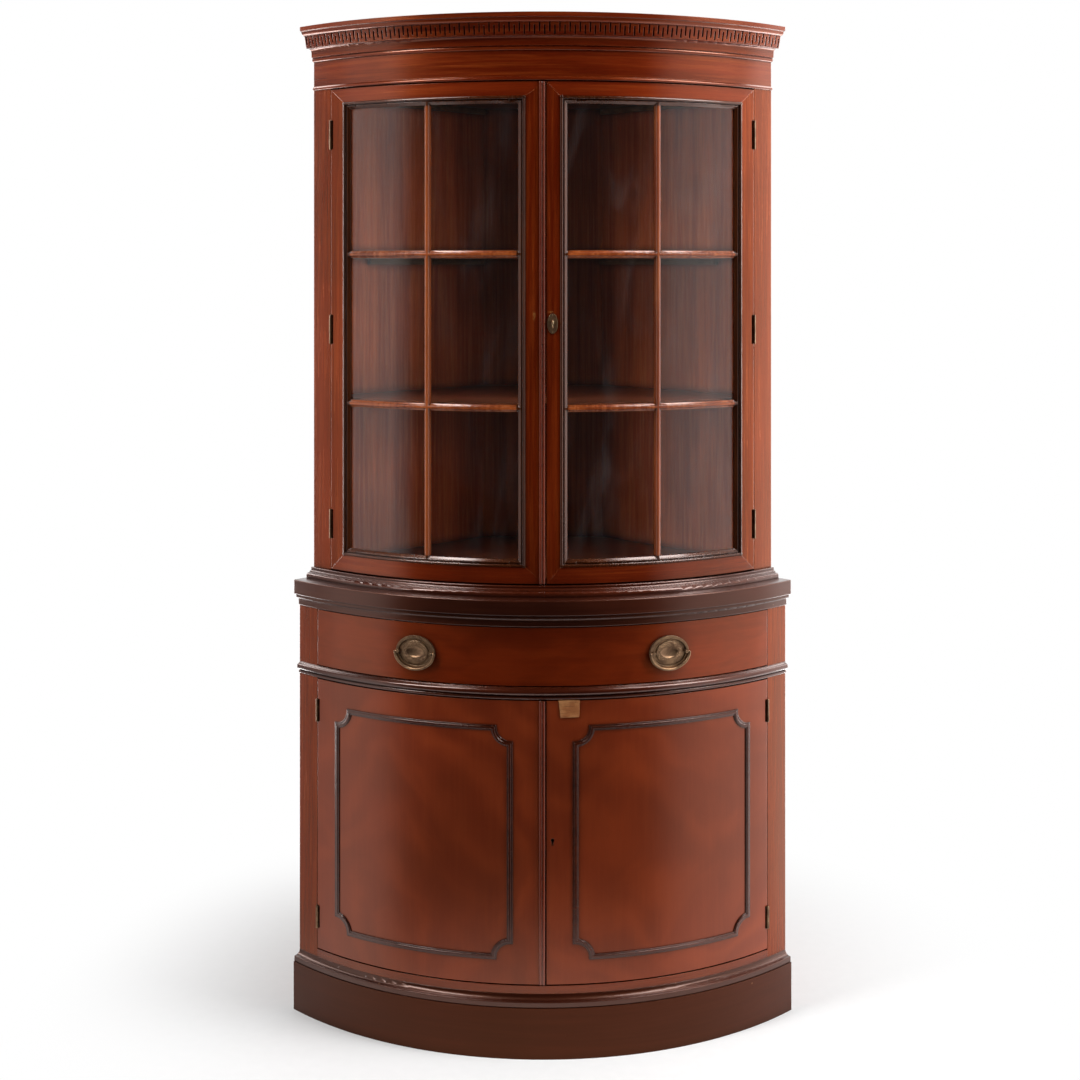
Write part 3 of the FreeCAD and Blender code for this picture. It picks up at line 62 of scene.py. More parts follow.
def makeCamera(values):
    lens = bpy.data.cameras.new("eye")
    lens.sensor_width = values["sensor"]
    lens.lens = values["sensor"] * values["focal"]
    lens.shift_y = values["horizon"]
    lens.clip_end = values["farthest"]
    eye = bpy.data.objects.new("eye", lens)
    eye.location = values["place"]
    eye.rotation_euler = (math.pi / 2, 0, values["turn"])
    bpy.context.scene.collection.objects.link(eye)
    bpy.context.scene.camera = eye


makeCamera(camera)
print("camera placed")


# shader nodes

def nodeMaker(tree):
    def make(kind, wires=None, **settings):
        node = tree.nodes.new(kind)
        for key, setting in settings.items():
            setattr(node, key, setting)
        for socket, source in (wires or {}).items():
            if isinstance(source, bpy.types.Node):
                source = source.outputs[0]
            if isinstance(source, bpy.types.NodeSocket):
                tree.links.new(source, node.inputs[socket])
            else:
                node.inputs[socket].default_value = source
        return node
    return make


def newMaterial(name):
    material = bpy.data.materials.new(name)
    material.use_nodes = True
    material.node_tree.nodes.clear()
    return material, nodeMaker(material.node_tree)


def finishWith(make, sockets):
    make("ShaderNodeOutputMaterial", {"Surface": make("ShaderNodeBsdfPrincipled", sockets)})


def objectPlace(make):
    return make("ShaderNodeTexCoord").outputs["Object"]


def sums(make, way, *terms):
    return make("ShaderNodeMath", dict(enumerate(terms)), operation=way).outputs[0]


def vectors(make, way, *terms):
    node = make("ShaderNodeVectorMath", dict(enumerate(terms)), operation=way)
    return node.outputs["Value" if way in ("LENGTH", "DOT_PRODUCT") else "Vector"]


def combined(make, *parts):
    return make("ShaderNodeCombineXYZ", dict(enumerate(parts))).outputs[0]


def separated(make, place):
    return make("ShaderNodeSeparateXYZ", {0: place}).outputs


def mapped(make, vector, scale, turn=(0, 0, 0), shift=(0, 0, 0)):
    wires = {"Vector": vector, "Location": shift, "Rotation": turn, "Scale": scale}
    return make("ShaderNodeMapping", wires).outputs[0]


def ranged(make, value, low, high, toLow=0.0, toHigh=1.0, way="LINEAR"):
    wires = {"Value": value, "From Min": low, "From Max": high, "To Min": toLow, "To Max": toHigh}
    return make("ShaderNodeMapRange", wires, interpolation_type=way).outputs[0]


def noise(make, vector, scale, detail=4, roughness=0.55, distortion=0.0):
    wires = {"Vector": vector, "Scale": scale, "Detail": detail, "Roughness": roughness,
             "Distortion": distortion}
    return make("ShaderNodeTexNoise", wires).outputs["Fac"]


def ramp(make, source, stops, smooth=False):
    node = make("ShaderNodeValToRGB", {"Fac": source})
    node.color_ramp.interpolation = "EASE" if smooth else "LINEAR"
    steps = node.color_ramp.elements
    while len(steps) < len(stops):
        steps.new(0.5)
    for step, (position, shade) in zip(steps, stops):
        step.position = position
        step.color = (shade, shade, shade, 1) if isinstance(shade, (int, float)) else (*shade, 1)
    return node.outputs["Color"]


def blendFloats(make, amount, first, second):
    return make("ShaderNodeMix", {0: amount, 2: first, 3: second}, data_type="FLOAT").outputs[0]


def asColour(tone):
    return tone if isinstance(tone, bpy.types.NodeSocket) else (*tone, 1)


def blendColours(make, amount, first, second, way="MIX"):
    wires = {0: amount, 6: asColour(first), 7: asColour(second)}
    return make("ShaderNodeMix", wires, data_type="RGBA", blend_type=way).outputs[2]


def darkened(make, colour, shade, amount=1.0):
    return blendColours(make, amount, colour, shade, "MULTIPLY")


def roundedEdge(make, radius, stops):
    # the normal with its edges rounded, and a mask of those edges
    bevel = make("ShaderNodeBevel", {"Radius": radius}, samples=4)
    facing = make("ShaderNodeNewGeometry").outputs["Normal"]
    return bevel, ramp(make, vectors(make, "DOT_PRODUCT", bevel, facing), stops)


def cornerShadeAndPatina(make, reach, stops):
    # darker where other surfaces hem this one in: painted shade in the wood's corners, patina in the brass's
    # hollows
    dark = make("ShaderNodeAmbientOcclusion", {"Distance": reach}, samples=4).outputs["AO"]
    return ramp(make, dark, stops)


def bumped(make, strength, distance, height, normal):
    wires = {"Strength": strength, "Distance": distance, "Height": height, "Normal": normal}
    return make("ShaderNodeBump", wires)


def bowPlace(make, place):
    # the turn round the bow in radians, and the place's parts
    parts = separated(make, place)
    return sums(make, "ARCTAN2", parts["X"], sums(make, "SUBTRACT", bowAxis, parts["Y"])), parts


# wood

marks = {
    # the keyhole's opening on the lower right door, painted dark as shade
    "keyhole": {"turn": 0.02838, "level": 0.4035, "radius": 0.0037, "half": 0.0021, "reach": 0.0105},
    "keyholeShadeTone": (0.004, 0.002, 0.0015),
    "scuffs": (                  # turn, level, half width and half height of a rubbed spot
        (-0.0234, 1.3845, 0.0042, 0.0125),
        (0.0250, 1.3915, 0.0090, 0.0028),
        (0.0440, 1.3720, 0.0025, 0.0110)),
    "scuffTone": (0.42, 0.185, 0.055),
    "chipTone": (0.26, 0.12, 0.055),
    "chipsPerMetre": 26,
    "chipSize": 0.045,
    "chipsLeftOut": 0.55,        # share of the cells that have no chip
    "chipStrength": 0.8,
}

backPaintedLightAndShade = {                    # painted shade darkens the corner, and the outside is painted darker than the inside, whose tone is raised to stand in for light
    "near": 0.07, "far": 0.28, "corner": 0.36, "sidePlane": 0.4105, "rearPlane": 0.2775, "outside": 0.36,
}

glazingRim = {                   # middle and half size of the glazing's opening, round the bow and upright
    "turn": 0.3515, "half": 0.2772, "level": 1.3545, "high": 0.433,
    "softTurn": 0.004, "softLevel": 0.003, "dim": 0.17,
}

grainRadius = 0.66               # where lengths round the bow are measured

fibres = {
    "across": 150,               # streaks a metre across the grain
    "along": 5,
    "index": 2.1,                # the fibres under the lacquer shine in their own colour
    "tint": (1.0, 0.27, 0.06),
    "poreDepth": 0.0004,
    "cornerShadeReach": 0.018,         # how far painted shade, standing also for old polish, darkens round a moulding
}

tones = {                        # darkest, middle and lightest colour of each cut
    "front": ((0.090, 0.0065, 0.0009), (0.160, 0.0150, 0.0020), (0.260, 0.0420, 0.0062)),
    "veneer": ((0.145, 0.0150, 0.0028), (0.215, 0.0270, 0.0050), (0.285, 0.0460, 0.0092)),
    "drawer": ((0.090, 0.0060, 0.0008), (0.160, 0.0140, 0.0017), (0.230, 0.0300, 0.0044)),
    "moulding": ((0.036, 0.0050, 0.0015), (0.062, 0.0090, 0.0025), (0.120, 0.0210, 0.0060)),
    "plinth": ((0.024, 0.0042, 0.0019), (0.042, 0.0080, 0.0034), (0.070, 0.0150, 0.0064)),
    # the inside is painted far lighter than the wood is, standing in for light that reaches the inside; the
    # backs' outsides are darkened again
    "inside": ((0.400, 0.0640, 0.0180), (0.680, 0.1450, 0.0430), (0.800, 0.2500, 0.0900)),
    "shelf": ((0.075, 0.0170, 0.0075), (0.130, 0.0340, 0.0150), (0.190, 0.0600, 0.0270)),
    "bar": ((0.170, 0.0260, 0.0050), (0.330, 0.0700, 0.0140), (0.500, 0.1400, 0.0360)),
    "plain": ((0.120, 0.0560, 0.0240), (0.230, 0.1150, 0.0520), (0.330, 0.1850, 0.0900)),
}

wood = {                         # every cut below, where its own entry says nothing else
    "grain": "up",               # or "level" round the bow, or "flat" from side to side
    "figure": "straight",        # or "swirl", or "mottle"
    "centre": (0.0, 0.0),        # of a swirl
    "streaks": 0.55,             # how clearly streaks and pores show
    "gloss": 0.0,                # how much smoother the fibres are than bare wood
    "polish": 0.5,               # how strongly the fibres shine
    "lacquer": 0.4,              # how strongly the clear coat shines
    "haze": 0.10,                # the coat's roughness
    "index": 1.5,                # and its refraction
    "soft": 0.0011,              # radius of the worn edges
    "wear": 0.55,                # how pale they are rubbed
    "shade": None, "rim": None, "keyhole": None, "scuffs": (), "chips": False,
}

trim = {"streaks": 0.3, "gloss": 0.14, "lacquer": 1.0, "haze": 0.14, "index": 1.62, "wear": 0.12}
foot = {"tone": "plinth", "grain": "level", "streaks": 0.25, "polish": 0.2, "haze": 0.2, "chips": True}
doorVeneer = {"tone": "veneer", "figure": "swirl", "streaks": 0.16, "polish": 0.42, "lacquer": 0.8,
              "haze": 0.24}

cuts = {
    "mahoganyUpright": {"tone": "front", "gloss": 0.14, "lacquer": 0.25, "scuffs": marks["scuffs"]},
    "mahoganyRound": {"tone": "front", "grain": "level", "gloss": 0.16, "polish": 0.36, "lacquer": 0.7,
                      "haze": 0.12},
    "mahoganyPlinth": {**foot, "lacquer": 0.15, "haze": 0.3},
    "mahoganyCounter": {**foot, "gloss": 0.08, "lacquer": 0.7, "index": 1.6, "soft": 0.0022, "wear": 0.3},
    "mahoganyMoulding": {**trim, "tone": "moulding", "grain": "level", "polish": 0.15, "soft": 0.002},
    "mahoganyBead": {**trim, "tone": "front", "polish": 0.3, "soft": 0.003},
    "mahoganyBar": {**trim, "tone": "bar", "streaks": 0.55, "gloss": 0.12, "polish": 0.12, "soft": 0.0016,
                    "rim": glazingRim},
    "mahoganyDoorLeft": {**doorVeneer, "centre": (-0.30, 0.10)},
    "mahoganyDoorRight": {**doorVeneer, "centre": (0.36, 0.78), "keyhole": marks["keyhole"]},
    "mahoganyDrawer": {"tone": "drawer", "grain": "level", "figure": "mottle", "streaks": 0.25, "gloss": 0.06,
                       "lacquer": 0.6},
    "mahoganyBack": {"tone": "inside", "streaks": 0.6, "gloss": -0.04, "polish": 0.08, "lacquer": 0.0,
                     "shade": backPaintedLightAndShade},
    "mahoganyBoard": {"tone": "shelf", "grain": "flat", "polish": 0.15},
    "plainWood": {"tone": "plain", "grain": "flat", "gloss": -0.2, "polish": 0.1, "lacquer": 0.0},
}


def grainVector(make, place, grain):
    turn, parts = bowPlace(make, place)
    if grain == "flat":
        return combined(make, parts["Y"], parts["Z"], parts["X"])
    arc = sums(make, "MULTIPLY", turn, grainRadius)
    depth = sums(make, "SUBTRACT", bowAxis, parts["Y"])
    radius = vectors(make, "LENGTH", combined(make, parts["X"], depth))
    if grain == "level":
        return combined(make, parts["Z"], radius, arc)
    return combined(make, arc, radius, parts["Z"])


def swirlFigure(make, place, vector, centre):
    # feathered figure of the veneered doors
    bent = make("ShaderNodeTexNoise", {"Vector": place, "Scale": 3.4, "Detail": 2.0}).outputs["Color"]
    push = vectors(make, "MULTIPLY", vectors(make, "SUBTRACT", bent, (0.5, 0.5, 0.5)), (0.30, 0.30, 0.34))
    moved = vectors(make, "ADD", vector, push)
    rings = mapped(make, moved, (1.0, 0.05, 0.62), shift=(-centre[0], 0, -centre[1]))
    waves = {"Vector": rings, "Scale": 5.0, "Distortion": 5.0, "Detail": 2.0, "Detail Scale": 1.4,
             "Detail Roughness": 0.5}
    band = make("ShaderNodeTexWave", waves, wave_type="RINGS", rings_direction="SPHERICAL").outputs["Fac"]
    plume = noise(make, moved, 7, 3, 0.55, 0.6)
    return sums(make, "ADD", sums(make, "MULTIPLY", band, 0.16), sums(make, "MULTIPLY", plume, 0.74))


def mottleFigure(make, vector, ribbon):
    # cross mottle of the drawer's veneer
    blot = noise(make, mapped(make, vector, (30, 6, 12), (0, 0.6, 0)), 1, 3, 0.6, 0.8)
    return sums(make, "ADD", sums(make, "MULTIPLY", blot, 0.55), sums(make, "MULTIPLY", ribbon, 0.45))


def paintedCornerShade(make, place, shade):
    # painted shade: darker towards the backs' corner, and the backs' outsides darker than their lightened
    # inside
    spot = separated(make, place)
    aside = sums(make, "ABSOLUTE", spot["X"])
    inside = ranged(make, aside, shade["near"], shade["far"], shade["corner"], 1.0, "SMOOTHSTEP")
    side = sums(make, "GREATER_THAN", sums(make, "ADD", aside, spot["Y"]), shade["sidePlane"])
    rear = sums(make, "GREATER_THAN", spot["Y"], shade["rearPlane"])
    return blendFloats(make, sums(make, "MAXIMUM", side, rear), inside, shade["outside"])


def rimMask(make, place, rim):
    # 1 on the glazing's frame, 0 on its bars
    turn, parts = bowPlace(make, place)
    aside = sums(make, "SUBTRACT", sums(make, "ABSOLUTE", turn), rim["turn"])
    above = sums(make, "SUBTRACT", parts["Z"], rim["level"])
    aside = ranged(make, sums(make, "ABSOLUTE", aside), rim["half"] - rim["softTurn"], rim["half"])
    above = ranged(make, sums(make, "ABSOLUTE", above), rim["high"] - rim["softLevel"], rim["high"])
    return sums(make, "MAXIMUM", aside, above)


def spotMask(make, place, turn, level, wide, high):
    # a soft oval spot on the bow, 1 in its middle
    angle, parts = bowPlace(make, place)
    across = sums(make, "DIVIDE", sums(make, "SUBTRACT", angle, turn), wide / grainRadius)
    up = sums(make, "DIVIDE", sums(make, "SUBTRACT", parts["Z"], level), high)
    return ramp(make, vectors(make, "LENGTH", combined(make, across, up)), [(0.2, 1.0), (1.0, 0.0)], True)


def keyholeShadeMask(make, place, values):
    # the keyhole's opening as a disc and a slot below it, painted dark as the shade of a hole
    angle, parts = bowPlace(make, place)
    across = sums(make, "MULTIPLY", sums(make, "SUBTRACT", angle, values["turn"]), lowerFace)
    drop = sums(make, "SUBTRACT", values["level"], parts["Z"])
    away = vectors(make, "LENGTH", combined(make, across, drop))
    disc = sums(make, "LESS_THAN", away, values["radius"])
    slot = sums(make, "LESS_THAN", sums(make, "ABSOLUTE", across), values["half"])
    slot = sums(make, "MULTIPLY", slot, sums(make, "GREATER_THAN", drop, 0.0))
    slot = sums(make, "MULTIPLY", slot, sums(make, "LESS_THAN", drop, values["reach"]))
    return sums(make, "MAXIMUM", disc, slot)


def chipMask(make, place, values):
    # pale specks where the finish has been knocked off
    cells = make("ShaderNodeTexVoronoi", {"Vector": place, "Scale": values["chipsPerMetre"]}).outputs
    small = sums(make, "LESS_THAN", cells["Distance"], values["chipSize"])
    chosen = make("ShaderNodeSeparateColor", {0: cells["Color"]}).outputs[0]
    small = sums(make, "MULTIPLY", small, sums(make, "GREATER_THAN", chosen, values["chipsLeftOut"]))
    return sums(make, "MULTIPLY", small, values["chipStrength"])


def markedWood(make, place, colour, cut):
    # painted shade in the backs' corner, and their outsides darker than the lightened inside
    if cut["shade"]:
        colour = darkened(make, colour, paintedCornerShade(make, place, cut["shade"]))
    if cut["rim"]:
        dim = ramp(make, rimMask(make, place, cut["rim"]), [(0.0, 1.0), (1.0, cut["rim"]["dim"])])
        colour = darkened(make, colour, dim)
    if cut["scuffs"]:
        scratches = mapped(make, place, (900, 900, 180), (0.0, 0.5, 0.0))
        scratches = ramp(make, noise(make, scratches, 1, 3, 0.7), [(0.46, 0.0), (0.60, 1.0)])
    for scuff in cut["scuffs"]:
        worn = sums(make, "MULTIPLY", spotMask(make, place, *scuff), scratches)
        colour = blendColours(make, worn, colour, marks["scuffTone"])
    if cut["chips"]:
        colour = blendColours(make, chipMask(make, place, marks), colour, marks["chipTone"])
    # the keyhole's opening painted dark, as painted shade
    if cut["keyhole"]:
        colour = blendColours(make, keyholeShadeMask(make, place, cut["keyhole"]), colour, marks["keyholeShadeTone"])
    return colour


def mahogany(name, cut):
    material, make = newMaterial(name)
    place = objectPlace(make)
    vector = grainVector(make, place, cut["grain"])
    across, along = fibres["across"], fibres["along"]

    def streaky(wide, long, detail, roughness, distortion=0.0, shift=0.0):
        # noise drawn out along the grain
        drawn = mapped(make, vector, (wide, wide, long), shift=(shift, shift * 2, shift * 3))
        return noise(make, drawn, 1, detail, roughness, distortion)

    ribbon = streaky(across / 6, along / 4, 3, 0.5, 0.4)
    streak = streaky(across, along, 5, 0.6, 0.15, 3.1)
    fibre = streaky(across * 5, along * 5, 3, 0.6, 0.0, 1.7)
    pore = streaky(across * 9, along * 11, 2, 0.5, 0.0, 5.3)
    cloud = noise(make, place, 3.2, 3, 0.5, 0.3)
    figured = ribbon
    if cut["figure"] == "swirl":
        figured = swirlFigure(make, place, vector, cut["centre"])
    if cut["figure"] == "mottle":
        figured = mottleFigure(make, vector, ribbon)

    darkest, middle, lightest = tones[cut["tone"]]
    clear = cut["streaks"]
    colour = blendColours(make, ramp(make, figured, [(0.30, 0.0), (0.72, 1.0)], True), darkest, middle)
    colour = blendColours(make, ramp(make, streak, [(0.40, 0.0), (0.78, clear)], True), colour, lightest)
    colour = darkened(make, colour, ramp(make, fibre, [(0.30, 1.0 - 0.4 * clear), (0.62, 1.06)]), 0.8)
    pores = ramp(make, pore, [(0.28, 1.0 - 0.8 * clear), (0.40, 1.0)])
    colour = darkened(make, colour, pores, 0.75)
    colour = darkened(make, colour, ramp(make, cloud, [(0.25, 0.72), (0.75, 1.22)], True))
    colour = markedWood(make, place, colour, cut)

    # worn edges, and painted shade in the corners and round mouldings, standing also for old polish
    bevel, edge = roundedEdge(make, cut["soft"], [(0.86, 1.0), (0.985, 0.0)])
    rubbed = ramp(make, noise(make, place, 38, 4, 0.7), [(0.44, 0.0), (0.66, 1.0)])
    rubbed = sums(make, "MULTIPLY", edge, rubbed)
    colour = blendColours(make, sums(make, "MULTIPLY", rubbed, cut["wear"]), colour, lightest)
    colour = darkened(make, colour, cornerShadeAndPatina(make, fibres["cornerShadeReach"], [(0.45, 0.16), (0.95, 1.0)]), 0.9)

    rough = ranged(make, sums(make, "ADD", streak, cloud), 0.6, 1.4, 0.34 - cut["gloss"], 0.44 - cut["gloss"])
    rough = sums(make, "ADD", rough, sums(make, "MULTIPLY", rubbed, 0.2))
    height = sums(make, "ADD", sums(make, "MULTIPLY", fibre, 0.35), sums(make, "MULTIPLY", pores, 0.65))
    finishWith(make, {
        "Base Color": colour, "Roughness": rough,
        "Normal": bumped(make, 0.12, fibres["poreDepth"], height, bevel),
        "IOR": fibres["index"], "Specular IOR Level": cut["polish"], "Specular Tint": (*fibres["tint"], 1),
        "Coat Weight": cut["lacquer"], "Coat Roughness": cut["haze"], "Coat IOR": cut["index"],
        "Coat Normal": bevel})
    return material


# metal, leather and glass

brass = {
    "polished": (0.50, 0.300, 0.165),
    "tarnish": (0.210, 0.115, 0.066),
    "edge": (0.86, 0.60, 0.36),
    "spots": 55,                 # tarnish spots a metre
    "bright": {"agedBrass": 1.0, "keyBrass": 1.9, "hingeBrass": 0.7},
}


def agedBrass(name, values, bright):
    material, make = newMaterial(name)
    polished, tarnish, rubbed = ([part * bright for part in values[tone]]
                                 for tone in ("polished", "tarnish", "edge"))
    place = objectPlace(make)
    patches = noise(make, place, values["spots"], 5, 0.65, 0.5)
    fine = noise(make, place, values["spots"] * 9, 3, 0.6)
    colour = blendColours(make, ramp(make, patches, [(0.30, 0.0), (0.72, 1.0)], True), tarnish, polished)
    bevel, edge = roundedEdge(make, 0.0005, [(0.88, 0.7), (0.985, 0.0)])
    colour = blendColours(make, edge, colour, rubbed)
    colour = darkened(make, colour, cornerShadeAndPatina(make, 0.004, [(0.25, 0.30), (0.75, 1.0)]))
    rough = ranged(make, patches, 0.3, 0.7, 0.42, 0.28)
    bump = bumped(make, 0.06, 0.0002, sums(make, "ADD", patches, fine), bevel)
    finishWith(make, {"Base Color": colour, "Metallic": 0.85, "Roughness": rough, "Normal": bump})
    return material


leather = {
    "face": (0.29, 0.100, 0.030),
    "worn": (0.50, 0.230, 0.085),
    "crease": (0.12, 0.038, 0.012),
    "pebbles": 900.0,            # a metre
}


def tanLeather(name, values):
    material, make = newMaterial(name)
    place = objectPlace(make)
    pebble = make("ShaderNodeTexVoronoi", {"Vector": place, "Scale": values["pebbles"], "Randomness": 1.0},
                  feature="DISTANCE_TO_EDGE").outputs["Distance"]
    crease = noise(make, mapped(make, place, (40, 40, 260)), 1, 4, 0.6, 0.8)
    stain = noise(make, place, 70, 3, 0.6)
    worn = ramp(make, stain, [(0.35, 0.0), (0.7, 0.6)], True)
    colour = blendColours(make, worn, values["face"], values["worn"])
    colour = blendColours(make, ramp(make, crease, [(0.34, 0.65), (0.46, 0.0)]), colour, values["crease"])
    bevel, edge = roundedEdge(make, 0.0009, [(0.86, 0.9), (0.98, 0.0)])
    colour = blendColours(make, edge, colour, values["worn"])
    pebble = ramp(make, pebble, [(0.0, 0.0), (0.12, 1.0)])
    height = sums(make, "ADD", pebble, sums(make, "MULTIPLY", crease, 2.0))
    rough = ranged(make, stain, 0.0, 1.0, 0.5, 0.75)
    finishWith(make, {"Base Color": colour, "Roughness": rough, "Specular IOR Level": 0.3,
                      "Normal": bumped(make, 0.35, 0.0004, height, bevel)})
    return material


glass = {
    "pane": (0.97, 0.98, 0.975),
    "shadow": (0.98, 0.985, 0.98),
    "index": 1.45,
    "film": 0.012,               # most that dust and old polish cover
    "filmColour": (0.75, 0.72, 0.72),
}


def oldGlass(name, values):
    material, make = newMaterial(name)
    place = objectPlace(make)
    smear = noise(make, mapped(make, place, (14, 14, 4), (0.0, 0.5, 0.0)), 1, 4, 0.6, 1.2)
    dust = noise(make, place, 90, 4, 0.6)
    wave = noise(make, place, 7, 2, 0.4)
    wave = make("ShaderNodeBump", {"Strength": 0.03, "Distance": 0.001, "Height": wave})
    rough = ranged(make, smear, 0.3, 0.75, 0.0, 0.05)
    pane = make("ShaderNodeBsdfPrincipled", {
        "Base Color": (*values["pane"], 1), "Roughness": rough, "Normal": wave, "IOR": values["index"],
        "Transmission Weight": 1.0})
    film = make("ShaderNodeBsdfDiffuse", {"Color": (*values["filmColour"], 1)})
    cover = sums(make, "MULTIPLY", ramp(make, smear, [(0.46, 0.05), (0.74, 1.0)], True), values["film"])
    cover = sums(make, "MULTIPLY", cover, ramp(make, dust, [(0.35, 0.6), (0.65, 1.0)]))
    dusty = make("ShaderNodeMixShader", {0: cover, 1: pane, 2: film})
    clear = make("ShaderNodeBsdfTransparent", {"Color": (*values["shadow"], 1)})
    shadow = make("ShaderNodeLightPath").outputs["Is Shadow Ray"]
    surface = make("ShaderNodeMixShader", {0: shadow, 1: dusty, 2: clear})
    make("ShaderNodeOutputMaterial", {"Surface": surface})
    return material


finishes = {name: mahogany(name, {**wood, **cut}) for name, cut in cuts.items()}
for brassName, bright in brass["bright"].items():
    finishes[brassName] = agedBrass(brassName, brass, bright)
finishes["tanLeather"] = tanLeather("tanLeather", leather)
finishes["oldGlass"] = oldGlass("oldGlass", glass)
print("finishes made:", len(finishes))


# geometry trees

def newTree(name, sockets):
    tree = bpy.data.node_groups.new(name, "GeometryNodeTree")
    for socket, kind in sockets.items():
        tree.interface.new_socket(socket, in_out="INPUT", socket_type="NodeSocket" + kind)
    tree.interface.new_socket("Geometry", in_out="OUTPUT", socket_type="NodeSocketGeometry")
    make = nodeMaker(tree)
    return tree, make, make("NodeGroupInput").outputs


def addTree(thing, name, tree, settings):
    modifier = thing.modifiers.new(name, "NODES")
    modifier.node_group = tree
    for item in tree.interface.items_tree:
        if item.item_type == "SOCKET" and item.in_out == "INPUT" and item.name in settings:
            modifier[item.identifier] = settings[item.name]


# the frame's own nodes

cladding = {
    "mahoganyUpright": "lower_stiles upper_stiles upper_left_stiles upper_right_stiles",
    "mahoganyRound": "front_rails frieze cornice fret_band upper_left_rails upper_right_rails",
    "mahoganyPlinth": "plinth_front",
    "mahoganyCounter": "plinth_cap counter_moulding countertop",
    "mahoganyMoulding": "lower_left_door_moulding lower_right_door_moulding waist_moulding"
                        " upper_base_moulding",
    "mahoganyBead": "upper_meeting_bead lower_meeting_bead",
    "mahoganyDoorLeft": "lower_left_door",
    "mahoganyDoorRight": "lower_right_door",
    "mahoganyDrawer": "drawer_front",
    "mahoganyBar": "upper_left_glazing upper_right_glazing",
    "mahoganyBack": "lower_backs upper_backs",
    "mahoganyBoard": "bottom_board lower_shelf upper_floor upper_shelves ceiling",
    "plainWood": "cleats dust_board drawer_guides drawer_sides drawer_back drawer_bottom",
    "keyBrass": "key",
    "agedBrass": "pull_plates bail_left bail_right upper_lock lower_lock upper_lock_bolt lower_lock_bolt"
                 " upper_slide_plate lower_slide_plate upper_slide_rod lower_slide_rod",
    "hingeBrass": "escutcheon case_hinge_leaves hinge_pins upper_left_hinge_leaves upper_right_hinge_leaves"
                  " lower_left_hinge_leaves lower_right_hinge_leaves",
    "tanLeather": "pull_tab",
    "oldGlass": "upper_left_glass upper_right_glass",
}

shading = {
    "Merge distance": 0.00001,
    "Sharp angle": math.radians(28),
}
broadWeight = 80                 # how firmly large faces keep their own normals


def shadingTree():
    tree, make, inputs = newTree("softShading", {
        "Geometry": "Geometry", "Merge distance": "Float", "Sharp angle": "Float"})
    merged = make("GeometryNodeMergeByDistance", {
        "Geometry": inputs["Geometry"], "Distance": inputs["Merge distance"]})
    smooth = make("GeometryNodeSetShadeSmooth", {"Geometry": merged, "Shade Smooth": True}, domain="FACE")
    angle = make("GeometryNodeInputMeshEdgeAngle").outputs["Unsigned Angle"]
    bent = make("FunctionNodeCompare", {0: angle, 1: inputs["Sharp angle"]}, data_type="FLOAT",
                operation="GREATER_THAN")
    around = make("GeometryNodeInputMeshEdgeNeighbors").outputs["Face Count"]
    shared = make("FunctionNodeCompare", {2: around, 3: 2}, data_type="INT", operation="GREATER_THAN")
    sharp = make("FunctionNodeBooleanMath", {0: bent, 1: shared}, operation="OR")     # where boards touch
    hard = make("GeometryNodeSetShadeSmooth", {"Geometry": smooth, "Selection": sharp, "Shade Smooth": False},
                domain="EDGE")
    make("NodeGroupOutput", {"Geometry": hard})
    return tree


def dressFrame():
    tree = shadingTree()
    dressed = 0
    for finish, names in cladding.items():
        for name in names.split():
            thing = nodes[name]
            if not thing.material_slots:
                thing.data.materials.append(finishes[finish])
            for slot in thing.material_slots:
                slot.material = finishes[finish]
            addTree(thing, "softShading", tree, shading)
            broad = thing.modifiers.new("broadFaces", "WEIGHTED_NORMAL")
            broad.mode = "FACE_AREA"
            broad.weight = broadWeight
            broad.keep_sharp = True
            dressed += 1
    return dressed


print("nodes dressed:", dressFrame(), "of", len(nodes))


# places on the bowed fronts, and plain pieces

def bowWays(turn):
    # straight out of the bow, and to the right along it
    return Vector((math.sin(turn), -math.cos(turn), 0)), Vector((math.cos(turn), math.sin(turn), 0))


def bowed(angle, radius, level):
    # x across, y up, z out of the front, at an angle round the bow in degrees
    out, across = bowWays(math.radians(angle))
    spot = Vector((0, bowAxis, level)) + out * radius
    return Matrix(((across.x, 0, out.x, spot.x), (across.y, 0, out.y, spot.y),
                   (0, 1, 0, spot.z), (0, 0, 0, 1)))


def newPiece(name, mesh, finish):
    thing = bpy.data.objects.new(name, mesh)
    bpy.context.scene.collection.objects.link(thing)
    if finish:
        mesh.materials.clear()
        mesh.materials.append(finishes[finish])
    return thing


def meshFrom(name, points, faces, smooth=True):
    mesh = bpy.data.meshes.new(name)
    mesh.from_pydata([tuple(point) for point in points], [], faces)
    for face in mesh.polygons:
        face.use_smooth = smooth
    mesh.validate()
    return mesh


def treeResult(thing, name):
    # the evaluated nodes as a plain mesh, and the maker object gone
    bpy.context.view_layer.update()
    evaluated = thing.evaluated_get(bpy.context.evaluated_depsgraph_get())
    mesh = bpy.data.meshes.new_from_object(evaluated)
    mesh.name = name
    bpy.data.objects.remove(thing)
    return mesh


def joinMeshes(name, meshes):
    whole = bmesh.new()
    materials = []
    for mesh in meshes:
        shift = len(materials)
        materials += list(mesh.materials)
        start = len(whole.faces)
        whole.from_mesh(mesh)
        whole.faces.ensure_lookup_table()
        for face in whole.faces[start:]:
            face.material_index += shift
    mesh = bpy.data.meshes.new(name)
    whole.to_mesh(mesh)
    whole.free()
    for material in materials:
        mesh.materials.append(material)
    return mesh


# screws and pins

